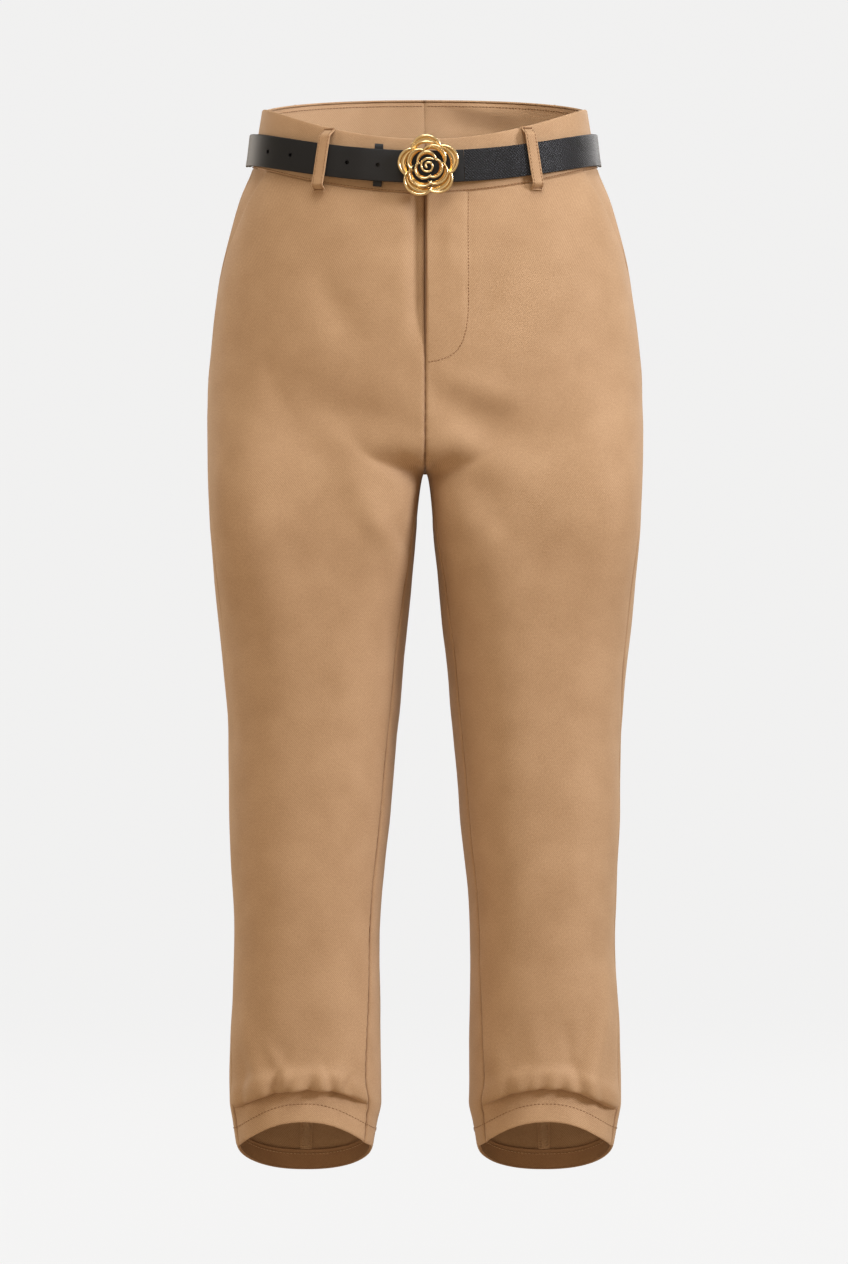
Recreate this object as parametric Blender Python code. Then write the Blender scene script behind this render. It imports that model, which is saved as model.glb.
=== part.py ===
"""Straight-leg ankle trousers, filled out as if worn, with their own belt and rose buckle.

Metres, +Z up. The front faces -Y, the wearer's left is +X. The origin is the middle of the waist,
where a wearer holds the trousers up. Every cloth piece is a wall that follows one skin: a hip ring
above the crotch that parts into two leg loops below it.
"""

import math

import bmesh
import bpy
import numpy as np

# Driving dimensions
CLOTH = 0.0012  # wall of one layer of cloth
FACING = 0.0010  # wall of a layer sewn inside
GAP = 0.0003  # air between two pieces
WAIST_TOP = 0.0430  # height of the waistband's top edge at the side
WAIST_SEAM = -0.0083  # height of the waistband seam at the side
WAIST_DIP, WAIST_LIFT = 0.0270, 0.0170  # how far the waist falls to the front and rises to the back
BELT_SIDE, BELT_DIP, BELT_LIFT = 0.0075, 0.0205, 0.0185  # the same for the belt's middle line
CROTCH = -0.2720  # height of the crotch point
HEM = -0.8570  # height of the hem at the side of the leg
HEM_DEPTH = 0.0165  # cloth turned up inside the hem
CREASE = -0.8285  # height, at the side, of the crease above the hem
POCKET_END = -0.1050  # height where the slanted pocket mouth meets the side seam
POCKET_SLANT = 0.200  # share of the front that the mouth takes off at the waist seam
FLY_END = -0.1770  # height of the foot of the fly
FLY_WIDTH = 0.0375
FLY_DIP = 0.0042  # how far the right front lies under the fly's edge
FRONT_RISE, BACK_RISE = 0.055, 0.110  # heights over which the crotch seam turns under
FRONT_TURN, BACK_TURN = 2.6, 2.2  # how squarely it turns
STRAP, STRAP_WIDTH, CLEAR = 0.0022, 0.0275, 0.0018  # belt leather, and its distance from the waistband
LOOP, LOOP_WIDTH, LOOP_LENGTH = 0.0014, 0.0105, 0.0547  # belt loops
BUCKLE_RADIUS = 0.0262
BUCKLE_PLACE = (0.0025, -0.1120, -0.0132)  # middle of the rose's back
RING = 2 / 2.35  # how square the hips are seen from above
HOLE_RADIUS, HOLE_STEP, FIRST_HOLE = 0.0017, 0.0270, -0.0137  # from the middle front, towards the wearer's right

# Sizes of the skin at each height: how far out and in a leg reaches from the middle, and its front and back
SECTION_COLUMNS = ("level", "outer", "inner", "front", "back")
SECTIONS = (
    (0.0600, 0.1390, 0.0000, -0.0985, 0.1025),
    (0.0430, 0.1415, 0.0000, -0.1000, 0.1040),
    (0.0200, 0.1452, 0.0000, -0.1018, 0.1058),
    (-0.0083, 0.1500, 0.0000, -0.1040, 0.1080),
    (-0.0348, 0.1608, 0.0000, -0.1058, 0.1130),
    (-0.0522, 0.1660, 0.0000, -0.1070, 0.1180),
    (-0.0870, 0.1750, 0.0000, -0.1090, 0.1240),
    (-0.1218, 0.1810, 0.0000, -0.1102, 0.1280),
    (-0.1566, 0.1853, 0.0000, -0.1110, 0.1300),
    (-0.1914, 0.1884, 0.0000, -0.1110, 0.1292),
    (-0.2350, 0.1892, 0.0000, -0.1104, 0.1255),
    (-0.2720, 0.1890, 0.0000, -0.1090, 0.1170),
    (-0.2770, 0.1888, 0.0026, -0.1084, 0.1158),
    (-0.2958, 0.1880, 0.0048, -0.1070, 0.1100),
    (-0.3306, 0.1857, 0.0078, -0.1040, 0.1030),
    (-0.3654, 0.1831, 0.0113, -0.1004, 0.0982),
    (-0.4002, 0.1797, 0.0144, -0.0970, 0.0940),
    (-0.4350, 0.1762, 0.0183, -0.0930, 0.0910),
    (-0.4698, 0.1727, 0.0213, -0.0890, 0.0880),
    (-0.5046, 0.1704, 0.0248, -0.0855, 0.0850),
    (-0.5742, 0.1695, 0.0308, -0.0800, 0.0810),
    (-0.6438, 0.1663, 0.0378, -0.0740, 0.0770),
    (-0.6786, 0.1652, 0.0394, -0.0706, 0.0742),
    (-0.7134, 0.1667, 0.0392, -0.0680, 0.0720),
    (-0.7656, 0.1695, 0.0383, -0.0655, 0.0695),
    (-0.8178, 0.1703, 0.0380, -0.0650, 0.0680),
    (-0.8352, 0.1675, 0.0416, -0.0620, 0.0640),
    (-0.8570, 0.1640, 0.0450, -0.0585, 0.0600),
)

# How far in front of the outermost and innermost lines the side seam and the inseam run, in degrees
SEAM_COLUMNS = ("level", "side_seam", "inseam")
SEAMS = (
    (-0.0083, 8.0, 0.0),
    (-0.0600, 7.0, 0.0),
    (-0.1000, 4.0, 0.0),
    (-0.2100, 3.0, 0.0),
    (-0.2720, 8.0, 6.0),
    (-0.3130, 15.0, 20.0),
    (-0.3760, 21.0, 25.0),
    (-0.4360, 19.0, 26.5),
    (-0.5100, 8.0, 28.0),
    (-0.7050, 7.0, 31.0),
    (-0.7660, 15.0, 36.0),
    (-0.8060, 16.0, 38.0),
    (-0.8290, 17.0, 32.0),
    (-0.8570, 18.0, 30.0),
)

# Soft folds on the fronts, each between two places: distance from the middle front and height. A positive
# depth is a ridge.
FOLD_COLUMNS = ("leg", "from_x", "from_z", "to_x", "to_z", "width", "depth")
FOLDS = (
    ("left", 0.013, -0.204, 0.081, -0.247, 0.013, -0.0034),
    ("left", 0.021, -0.272, 0.073, -0.332, 0.014, -0.0026),
    ("left", 0.013, -0.188, 0.064, -0.203, 0.012, 0.0018),
    ("left", 0.021, -0.247, 0.073, -0.273, 0.013, 0.0026),
    ("left", 0.081, -0.076, 0.047, -0.152, 0.010, -0.0018),
    ("left", 0.172, -0.700, 0.145, -0.815, 0.009, 0.0020),
    ("right", 0.090, -0.238, 0.013, -0.259, 0.015, 0.0028),
    ("right", 0.069, -0.281, 0.021, -0.349, 0.017, 0.0026),
    ("right", 0.098, -0.093, 0.055, -0.170, 0.013, -0.0018),
    ("right", 0.013, -0.225, 0.080, -0.212, 0.012, -0.0016),
    ("right", 0.128, -0.765, 0.100, -0.815, 0.009, 0.0018),
)

# Gathers pushed up above the hem crease: distance from the middle, half width, depth and how far up they run
GATHER_COLUMNS = ("leg", "x", "width", "depth", "height")
GATHERS = (
    ("right", 0.130, 0.009, 0.0042, 0.036),
    ("right", 0.078, 0.009, 0.0042, 0.034),
    ("left", 0.074, 0.009, 0.0038, 0.026),
    ("left", 0.108, 0.010, 0.0042, 0.024),
    ("left", 0.136, 0.009, 0.0040, 0.028),
)
CREASE_DEPTH = 0.0058  # how far the crease above the hem is pushed in at the front
CREASE_BULGE = 0.0026  # how far the cloth above it stands out

# Heights of the rows of the cloth walls
HIP_ROWS = (WAIST_SEAM, -0.017, -0.030, -0.048, -0.066, -0.086, POCKET_END, -0.130, -0.155, FLY_END, -0.198, -0.215)
TURN_ROWS = (-0.229, -0.241, -0.251, -0.2595, -0.2655, -0.2695, CROTCH)
LEG_ROWS = (-0.279, -0.295, -0.325, -0.365, -0.410, -0.460, -0.515, -0.580, -0.645, -0.705, -0.745, -0.775)
LEG_ROWS += (-0.795, -0.808, -0.817, -0.8235, CREASE, -0.8325, HEM + HEM_DEPTH, -0.849, HEM)
ROWS = np.array(HIP_ROWS + TURN_ROWS + LEG_ROWS)
FRONT_STRIPS, BACK_STRIPS = 16, 5  # strips across each front and each of the two back pieces

LEATHER = ("belt_leather", (0.030, 0.031, 0.033), 0.45, 0.0)
GOLD = ("gold", (0.83, 0.61, 0.27), 0.22, 1.0)
TWILL = ("camel_twill", (0.46, 0.29, 0.16), 0.85, 0.0)
TWILL_INSIDE = ("camel_twill_inside", (0.33, 0.20, 0.11), 0.9, 0.0)


def column(table, columns, name, level):
    """A column of a table of sections, read at any height with a curve that doesn't overshoot."""
    at = np.array([row[0] for row in table])[::-1]
    value = np.array([row[columns.index(name)] for row in table])[::-1]
    step = np.diff(at)
    slope = np.diff(value) / step
    tangent = np.zeros(len(at))
    same = slope[:-1] * slope[1:] > 0
    mean = 2 * slope[:-1] * slope[1:] / np.where(same, slope[:-1] + slope[1:], 1)
    tangent[1:-1] = np.where(same, mean, 0)
    tangent[0], tangent[-1] = slope[0], slope[-1]
    level = np.clip(level, at[0], at[-1])
    k = np.clip(np.searchsorted(at, level, side="right") - 1, 0, len(step) - 1)
    t = (level - at[k]) / step[k]
    rise = value[k + 1] - value[k]
    ends = (1 - t) * tangent[k] - t * tangent[k + 1]
    return value[k] + rise * (t * t * (3 - 2 * t)) + t * (1 - t) * step[k] * ends


def size(name, level):
    """A size of the skin at a height."""
    return column(SECTIONS, SECTION_COLUMNS, name, level)


def ease(x):
    """0 below 0, 1 above 1, and smooth between."""
    x = np.clip(x, 0.0, 1.0)
    return x * x * (3 - 2 * x)


def power(x, exponent):
    """x to an exponent, keeping its sign."""
    return np.sign(x) * np.abs(x) ** exponent


def drop(across, lean, dip, lift):
    """How far a line round the waist lies above its height at the side, at a share of the way across and back."""
    return np.where(lean < 0, -dip * (1 - across**2), lift * np.abs(lean) ** 1.3)


def waist_tilt(across, lean, level):
    """Drop of the waist, which fades out over the hips."""
    dip = WAIST_DIP + 0.09 * (level - WAIST_SEAM)
    return drop(across, lean, dip, WAIST_LIFT) * ease((level + 0.190) / 0.170)


def hem_tilt(angle, level):
    """The hem arches up at the front of the leg and hangs lower at its back."""
    front = 0.0243 * np.cos(0.5 * np.pi * np.cos(angle))
    back = 0.0257 * np.abs(np.sin(angle))
    tilt = np.where(np.sin(angle) < 0, front, -back)
    return tilt * ease((-0.700 - level) / 0.150)


def hip_ring(angle, level):
    """A point of the hip ring of the wearer's left half. Angle 0 is the side, -90 degrees the middle front."""
    across, lean = power(np.cos(angle), RING), power(np.sin(angle), RING)
    depth = np.where(lean < 0, -size("front", level), size("back", level))
    tilt = waist_tilt(across, lean, level)
    return np.stack([size("outer", level) * across, depth * lean, level + tilt], axis=-1)


def leg_loop(angle, level):
    """A point of a leg loop. Angle 0 is outermost, -90 degrees the front, 180 degrees the inside of the leg."""
    square = 2 / 2.3
    outer, inner = size("outer", level), size("inner", level)
    front, back = size("front", level), size("back", level)
    across = (outer + inner) / 2 + (outer - inner) / 2 * power(np.cos(angle), square)
    along = (front + back) / 2 + (back - front) / 2 * power(np.sin(angle), square)
    return np.stack([across, along, level + hem_tilt(angle, level)], axis=-1)


def turned(level, rise, squareness):
    """How far the crotch seam has turned under at a height: 0 above the rise, 1 from the crotch down."""
    share = np.clip(1 - (level - CROTCH) / rise, 0.0, 1.0)
    return 1 - (1 - share**squareness) ** (1 / squareness)


def skin(around, level):
    """The skin of the wearer's left half. Around runs 0 to 1 over the front, inner edge to side seam, and 1 to 2
    over the back, side seam to inner edge."""
    side = np.radians(column(SEAMS, SEAM_COLUMNS, "side_seam", level))
    inseam = np.radians(column(SEAMS, SEAM_COLUMNS, "inseam", level))
    front, back = np.clip(around, 0, 1), np.clip(around - 1, 0, 1)
    hip = np.where(around < 1, -np.pi / 2 + front * (np.pi / 2 - side), -side + back * (np.pi / 2 + side))
    leg = np.where(
        around < 1,
        -(np.pi - inseam) + front * (np.pi - inseam - side),
        -side + back * (np.pi + side + inseam),
    )
    toward_back = ease((around - 0.6) / 0.8)
    at_seam = turned(level, FRONT_RISE, FRONT_TURN) * (1 - toward_back)
    at_seam = at_seam + turned(level, BACK_RISE, BACK_TURN) * toward_back
    away = ease(np.minimum(around, 2 - around) / 0.35)
    weight = at_seam + (ease((-0.165 - level) / 0.165) - at_seam) * away
    return hip_ring(hip, level) + weight[..., None] * (leg_loop(leg, level) - hip_ring(hip, level))


def leg_middle(level):
    """Where, around, the seam down the middle of the back of the leg runs."""
    side = column(SEAMS, SEAM_COLUMNS, "side_seam", level)
    inseam = column(SEAMS, SEAM_COLUMNS, "inseam", level)
    return 1 + (90 + side) / (180 + side + inseam)


def mouth(level):
    """Where, around, the front stops: at the slanted pocket mouth, or at the side seam below it."""
    share = np.clip((level - POCKET_END) / (WAIST_SEAM - POCKET_END), 0, 1)
    return 1 - POCKET_SLANT * share


def spans():
    """The cloth pieces of the wearer's left half, each as a grid of places around by rows."""
    middle = leg_middle(ROWS)[:, None]
    back = np.linspace(0, 1, BACK_STRIPS + 1)[None, :]
    return {
        "front": np.linspace(0, 1, FRONT_STRIPS + 1)[None, :] * mouth(ROWS)[:, None],
        "back_outer": 1 + back * (middle - 1),
        "back_inner": middle + back * (2 - middle),
    }


def quads(points):
    """Corner points of the faces of a grid of points."""
    return points[:-1, :-1], points[1:, :-1], points[1:, 1:], points[:-1, 1:]


def skin_normals(grids):
    """Outward directions at every point of the grids, averaged over all the faces that meet there on either half."""
    whole = list(grids.values()) + [g[:, ::-1] * (-1, 1, 1) for g in grids.values()]
    corners, pushes = [], []
    for grid in whole:
        a, b, c, d = quads(grid)
        push = np.cross(d - b, c - a)
        for corner in (a, b, c, d):
            corners.append(corner.reshape(-1, 3))
            pushes.append(push.reshape(-1, 3))
    keys = np.round(np.concatenate(corners) * 1e6).astype(np.int64)
    found, index = np.unique(keys, axis=0, return_inverse=True)
    total = np.zeros((len(found), 3))
    np.add.at(total, index.reshape(-1), np.concatenate(pushes))
    total /= np.maximum(np.linalg.norm(total, axis=1, keepdims=True), 1e-12)
    place = {tuple(key): row for row, key in enumerate(found)}
    normals = {}
    for name, grid in grids.items():
        flat = np.round(grid.reshape(-1, 3) * 1e6).astype(np.int64)
        rows = [place[tuple(key)] for key in flat]
        normals[name] = total[rows].reshape(grid.shape)
    return normals


def relief(leg, around, points, level):
    """How far the cloth of a front stands out from the skin: soft folds, the crease above the hem, the gathers."""
    x, z = points[..., 0], points[..., 2]
    push = np.zeros(x.shape)
    for fold in FOLDS:
        row = dict(zip(FOLD_COLUMNS, fold, strict=True))
        if row["leg"] != leg:
            continue
        dx, dz = row["to_x"] - row["from_x"], row["to_z"] - row["from_z"]
        px, pz = x - row["from_x"], z - row["from_z"]
        t = np.clip((px * dx + pz * dz) / (dx * dx + dz * dz), 0, 1)
        away = np.hypot(px - t * dx, pz - t * dz)
        push = push + row["depth"] * np.exp(-((away / row["width"]) ** 2)) * (1 - 0.35 * (2 * t - 1) ** 2)
    facing = np.clip(np.sin(np.pi * np.clip(around, 0, 1)), 0, 1) ** 0.7
    below = level < CREASE
    notch = np.exp(-(((level - CREASE) / np.where(below, 0.0085, 0.0050)) ** 2))
    swell = np.exp(-(((level - CREASE - 0.014) / 0.011) ** 2)) * ~below
    push = push + facing * (CREASE_BULGE * swell - CREASE_DEPTH * notch)
    for gather in GATHERS:
        row = dict(zip(GATHER_COLUMNS, gather, strict=True))
        if row["leg"] != leg:
            continue
        up = np.clip((level - CREASE) / row["height"], 0, 1)
        reach = np.where(below, 0.0, (1 - up) ** 2 * ease((level - CREASE) / 0.006))
        push = push - row["depth"] * reach * np.exp(-(((x - row["x"]) / row["width"]) ** 2))
    push = push * ease(around / 0.04) * ease((1 - around) / 0.06)
    if leg == "right":
        push = push - FLY_DIP * ease((level - FLY_END) / 0.030) * (1 - ease(x / 0.020))
    return push


def wall(name, outer, inner, material):
    """A closed wall between two grids of points, as one object."""
    rows, columns = outer.shape[:2]
    index = np.arange(rows * columns).reshape(rows, columns)
    under = index + rows * columns

    def faces(a, b, c, d):
        return np.stack([x.reshape(-1) for x in (a, b, c, d)], axis=1)

    def side(edge):
        return faces(edge[:-1], edge[1:], edge[1:] + rows * columns, edge[:-1] + rows * columns)

    around = np.concatenate([index[0, :-1], index[:-1, -1], index[-1, :0:-1], index[:0:-1, 0], index[0, :1]])
    made = np.concatenate([faces(*quads(index)), faces(*quads(under))[:, ::-1], side(around)[:, ::-1]])
    mesh = bpy.data.meshes.new(name)
    mesh.from_pydata(np.concatenate([outer.reshape(-1, 3), inner.reshape(-1, 3)]).tolist(), [], made.tolist())
    return finished(name, mesh, material)


def tube(name, outer, inner, material):
    """A closed wall that runs all the way round: the last column joins the first."""
    rows, columns = outer.shape[:2]
    index = np.arange(rows * columns).reshape(rows, columns)
    index = np.concatenate([index, index[:, :1]], axis=1)
    under = index + rows * columns
    made = []
    for a, b, c, d in (
        quads(index),
        tuple(reversed(quads(under))),
        (index[0, :-1], index[0, 1:], under[0, 1:], under[0, :-1]),
        (index[-1, 1:], index[-1, :-1], under[-1, :-1], under[-1, 1:]),
    ):
        made.append(np.stack([x.reshape(-1) for x in (a, b, c, d)], axis=1))
    mesh = bpy.data.meshes.new(name)
    mesh.from_pydata(
        np.concatenate([outer.reshape(-1, 3), inner.reshape(-1, 3)]).tolist(), [], np.concatenate(made).tolist()
    )
    return finished(name, mesh, material)


def finished(name, mesh, material):
    """Puts a mesh in the trousers' collection, its faces pointing out, with its material."""
    work = bmesh.new()
    work.from_mesh(mesh)
    bmesh.ops.recalc_face_normals(work, faces=work.faces)
    work.to_mesh(mesh)
    work.free()
    mesh.shade_smooth()
    mesh.set_sharp_from_angle(angle=math.radians(40))
    made = bpy.data.objects.new(name, mesh)
    made.data.materials.append(material)
    bpy.data.collections["Trousers"].objects.link(made)
    return made


def paint(name, colour, roughness, metallic):
    """A plain material with the colour and finish of the real one."""
    material = bpy.data.materials.new(name)
    material.use_nodes = True
    shader = material.node_tree.nodes["Principled BSDF"]
    shader.inputs["Base Color"].default_value = (*colour, 1.0)
    shader.inputs["Roughness"].default_value = roughness
    shader.inputs["Metallic"].default_value = metallic
    return material


def parted(grid):
    """The grid with its edges drawn in by half a seam gap, so that neighbours stay apart."""
    grid = grid.copy()
    for edge, inside in (((slice(None), 0), (slice(None), 1)), ((slice(None), -1), (slice(None), -2))):
        draw = grid[inside] - grid[edge]
        length = np.maximum(np.linalg.norm(draw, axis=-1, keepdims=True), 1e-9)
        grid[edge] = grid[edge] + draw / length * GAP * 0.75
    for edge, inside in ((0, 1), (-1, -2)):
        draw = grid[inside] - grid[edge]
        length = np.maximum(np.linalg.norm(draw, axis=-1, keepdims=True), 1e-9)
        grid[edge] = grid[edge] + draw / length * GAP * 0.75
    grid[..., 0] = np.maximum(grid[..., 0], GAP / 2)
    return grid


def layer(points, normals, out, thickness, leg):
    """Outer and inner grids of a cloth layer, on the wearer's left or mirrored to the right."""
    outer = points + normals * out[..., None]
    inner = outer - normals * thickness
    for grid in (outer, inner):
        grid[..., 0] = np.maximum(grid[..., 0], GAP / 2)
    if leg == "right":
        outer, inner = outer * (-1, 1, 1), inner * (-1, 1, 1)
    return outer, inner


def make_legs(material, inside):
    """The fronts, the two pieces of each back, the pocket facings, the turned-up hems and the back seam allowances."""
    places = spans()
    level = ROWS[:, None]
    points = {name: skin(around, level + 0 * around) for name, around in places.items()}
    normals = skin_normals(points)
    for leg in ("right", "left"):
        out = {name: np.zeros(around.shape) for name, around in places.items()}
        out["front"] = relief(leg, places["front"], points["front"], level + 0 * places["front"])
        for name in places:
            outer, inner = layer(parted(points[name]), normals[name], out[name], CLOTH, leg)
            wall(f"{name}_{leg}", outer, inner, material)
        make_hem(leg, points, normals, out, inside)
        make_allowance(leg, points, normals, inside)
        make_pocket_facing(leg, material)
        make_waistband(leg, material, inside)


def make_hem(leg, points, normals, out, material):
    """The hem's turned-up cloth, a band inside the foot of the leg."""
    foot = slice(-3, None)
    ring = [points["front"][foot], points["back_outer"][foot, 1:], points["back_inner"][foot, 1:-1]]
    outward = [normals["front"][foot], normals["back_outer"][foot, 1:], normals["back_inner"][foot, 1:-1]]
    push = [out["front"][foot], out["back_outer"][foot, 1:], out["back_inner"][foot, 1:-1]]
    ring, outward, push = (np.concatenate(part, axis=1) for part in (ring, outward, push))
    outer, inner = layer(ring, outward, push - CLOTH - GAP, FACING, leg)
    tube(f"hem_{leg}", outer, inner, material)


def make_allowance(leg, points, normals, material):
    """The pressed seam allowance up the inside of the back of the leg, from the hem to the seat."""
    half_width, rows = 0.0032, slice(5, -3)
    seam, outward = points["back_inner"][rows, 0], normals["back_inner"][rows, 0]
    columns, directions = [], []
    for piece, neighbour in (("back_outer", -2), (None, None), ("back_inner", 1)):
        share = 0.0
        if piece:
            toward = points[piece][rows, neighbour] - seam
            share = half_width / np.linalg.norm(toward, axis=-1, keepdims=True)
            columns.append(seam + toward * share)
            directions.append(outward + (normals[piece][rows, neighbour] - outward) * share)
        else:
            columns.append(seam)
            directions.append(outward)
    grid, direction = np.stack(columns, axis=1), np.stack(directions, axis=1)
    direction /= np.linalg.norm(direction, axis=-1, keepdims=True)
    outer, inner = layer(grid, direction, np.full(grid.shape[:2], -CLOTH - GAP), 0.0008, leg)
    wall(f"back_allowance_{leg}", outer, inner, material)


def make_pocket_facing(leg, material):
    """The cloth seen in the slanted pocket mouth, tucked under the front and flush with the back piece."""
    rows = ROWS[(ROWS >= POCKET_END + 0.01)]
    level = rows[:, None]
    edge = mouth(rows)[:, None]
    places = np.concatenate([edge - 0.05, edge + 0.01, (edge + 0.01) / 2 + 0.5, 0 * edge + 1], axis=1)
    level = level + 0 * places
    sink = -(CLOTH + GAP + 0.0007) * np.array([1.0, 1.0, 0.55, 0.0])[None, :] + 0 * places
    step = 1e-3
    points = skin(np.minimum(places, 0.9999), level)
    ahead = skin(places - step, level) - points
    up = skin(np.minimum(places, 0.9999), level + step) - points
    outward = np.cross(up, ahead)
    outward *= np.sign(outward[..., :1])
    outward /= np.linalg.norm(outward, axis=-1, keepdims=True)
    outer, inner = layer(parted(points), outward, sink, CLOTH, leg)
    wall(f"pocket_facing_{leg}", outer, inner, material)


def mirrored(grid, leg):
    """The grid as it is for the left leg, or mirrored for the right one."""
    return grid * (-1, 1, 1) if leg == "right" else grid


def make_waistband(leg, material, inside):
    """One half of the waistband, from the middle front to the middle back, and its facing."""
    angle = np.radians(np.linspace(-90, 90, 17))[None, :]
    level = np.linspace(WAIST_SEAM + GAP, WAIST_TOP, 3)[:, None] + 0 * angle
    outer = parted(hip_ring(angle + 0 * level, level))
    outward = ring_outward(angle + 0 * level, level)
    for name, inset, thickness, paint_with in (
        ("waistband", 0.0, CLOTH, material),
        ("waistband_facing", CLOTH + GAP, FACING, inside),
    ):
        face, back = outer - outward * inset, outer - outward * (inset + thickness)
        for grid in (face, back):
            grid[..., 0] = np.maximum(grid[..., 0], GAP / 2)
        wall(f"{name}_{leg}", mirrored(face, leg), mirrored(back, leg), paint_with)


def ring_outward(angle, level):
    """Horizontal outward direction of the hip ring."""
    step = 1e-3
    ahead = hip_ring(angle + step, level) - hip_ring(angle - step, level)
    outward = np.stack([ahead[..., 1], -ahead[..., 0], 0 * ahead[..., 0]], axis=-1)
    return outward / np.linalg.norm(outward, axis=-1, keepdims=True)


def make_fly(material):
    """The fly's facing behind the left front, and the shield behind it."""
    levels = np.array([WAIST_SEAM - GAP, *HIP_ROWS[1:10]])
    down = (levels - levels[-1]) / (levels[0] - levels[-1])
    facing_width = FLY_WIDTH * np.minimum(1.0, 0.35 + np.sqrt(np.clip(down / 0.22, 0, 1)))
    for name, left, right, inset in (
        ("fly_facing", 0.0004 + 0 * levels, facing_width, CLOTH + GAP),
        ("fly_shield", 0.0008 + 0 * levels, facing_width + 0.002, CLOTH + 2 * GAP + FACING),
    ):
        across = left[:, None] + np.linspace(0, 1, 5)[None, :] * (right - left)[:, None]
        level = levels[:, None] + 0 * across
        share = np.abs(across) / size("outer", level)
        lean = -((1 - share ** (2 / RING)) ** (RING / 2))
        face = np.stack([across, -size("front", level) * lean, level + waist_tilt(share, lean, level)], axis=-1)
        push = relief("left", np.full(level.shape, 0.2), face, level)
        face[..., 1] += inset + 0.0006 - np.minimum(push, 0)
        wall(name, face, face + (0, FACING, 0), material)


def belt_path(turn, height):
    """A point against the waistband, the direction out from it, and how far across and back it is. Turn is in
    degrees from the middle front, towards the wearer's right side, round the back and on."""
    turn = np.asarray(turn, float)
    spin = np.radians(turn % 360.0)
    angle = np.abs((spin + np.pi) % (2 * np.pi) - np.pi) - np.pi / 2
    flip = np.stack([np.where((turn % 360.0) < 180, -1.0, 1.0), 1 + 0 * turn, 1 + 0 * turn], axis=-1)
    across, lean = power(np.cos(angle), RING), power(np.sin(angle), RING)
    level = height - drop(across, lean, WAIST_DIP, WAIST_LIFT)
    for _ in range(3):
        level = height - waist_tilt(across, lean, level)
    return hip_ring(angle, level) * flip, ring_outward(angle, level) * flip, across, lean


def strap_grid(turn, across, out, leaning=0.0010):
    """Points on a ribbon round the waist: across runs -1 to 1 from its lower to its upper edge."""
    _, _, sideways, lean = belt_path(turn, 0 * turn)
    height = BELT_SIDE + drop(sideways, lean, BELT_DIP, BELT_LIFT) + across * STRAP_WIDTH / 2
    point, outward, _, _ = belt_path(turn, height)
    return point + outward * (out + leaning * (1 + across) / 2)[..., None]


def strap_out(turn):
    """How far the strap's inner face lies from the waistband: once round it climbs over its own start."""
    over = STRAP + GAP + 0.0018 * (1 - ease((turn - 376) / 10))
    return CLEAR + over * ease((turn - 336) / 20)


def make_belt(leather):
    """The strap: it starts under the buckle, goes once round the waist and ends as the tail over its own start."""
    start, finish = 2.15, 462.0
    turn = np.concatenate([np.linspace(start, 330, 46), np.linspace(336, 392, 15), np.linspace(398, finish, 11)])
    across = np.linspace(-1, 1, 3)[:, None] * np.sqrt(np.clip((finish - turn) / 5.0, 0.04, 1.0))[None, :]
    turn = turn[None, :] + 0 * across
    inner = strap_grid(turn, across, strap_out(turn))
    outer = strap_grid(turn, across, strap_out(turn) + STRAP)
    strap = wall("belt_strap", outer[::-1], inner[::-1], leather)
    cut_holes(strap)


def turn_at(distance):
    """The turn that lies this far along the belt from the middle front, on the tail."""
    turn = np.linspace(340, 450, 441)
    path = strap_grid(turn, 0 * turn, strap_out(turn))
    length = np.concatenate([[0], np.cumsum(np.linalg.norm(np.diff(path, axis=0), axis=1))])
    return np.interp(distance + np.interp(360, turn, length), length, turn)


def cut_holes(strap):
    """Punches the row of round holes in the tail."""
    cutters = bpy.data.collections["Cutters"]
    for number in range(7):
        turn = np.array([turn_at(FIRST_HOLE + number * HOLE_STEP)])
        middle = strap_grid(turn, 0 * turn, strap_out(turn) + STRAP / 2)[0]
        outward = belt_path(turn, np.array([middle[2]]))[1][0]
        mesh = bpy.data.meshes.new(f"hole_{number}")
        work = bmesh.new()
        bmesh.ops.create_cone(
            work, cap_ends=True, segments=10, radius1=HOLE_RADIUS, radius2=HOLE_RADIUS, depth=STRAP + 0.0018
        )
        work.to_mesh(mesh)
        work.free()
        cutter = bpy.data.objects.new(f"hole_{number}", mesh)
        cutter.location = middle
        cutter.rotation_euler = (0.0, math.pi / 2, math.atan2(outward[1], outward[0]))
        cutter.hide_render = True
        cutter.display_type = "WIRE"
        cutters.objects.link(cutter)
        cut = strap.modifiers.new(f"hole_{number}", "BOOLEAN")
        cut.operation = "DIFFERENCE"
        cut.object = cutter


def make_keeper(leather):
    """The keeper, a small ring of leather round the start of the strap beside the buckle."""
    thickness, tall = 0.0010, 1.26
    turn = np.linspace(11.2, 13.8, 3)
    section = []
    for reach in (0.0, thickness):
        ring = []
        for across, out in ((-1, -GAP - reach), (1, -GAP - reach), (1, STRAP + GAP + reach), (-1, STRAP + GAP + reach)):
            high = across * (tall + reach / STRAP_WIDTH * 2)
            ring.append(strap_grid(turn, high + 0 * turn, CLEAR + out + 0 * turn))
        section.append(np.array(ring))
    hole, shell = section
    corners, steps = shell.shape[:2]
    offset = corners * steps
    index = []
    for corner in range(corners):
        following = (corner + 1) % corners
        for step in range(steps - 1):
            a, b = corner * steps + step, following * steps + step
            index.append((a, b, b + 1, a + 1))
            index.append((offset + a, offset + a + 1, offset + b + 1, offset + b))
        for step in (0, steps - 1):
            a, b = corner * steps + step, following * steps + step
            index.append((a, offset + a, offset + b, b))
    mesh = bpy.data.meshes.new("belt_keeper")
    mesh.from_pydata(np.concatenate([shell.reshape(-1, 3), hole.reshape(-1, 3)]).tolist(), [], index)
    finished("belt_keeper", mesh, leather)


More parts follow.
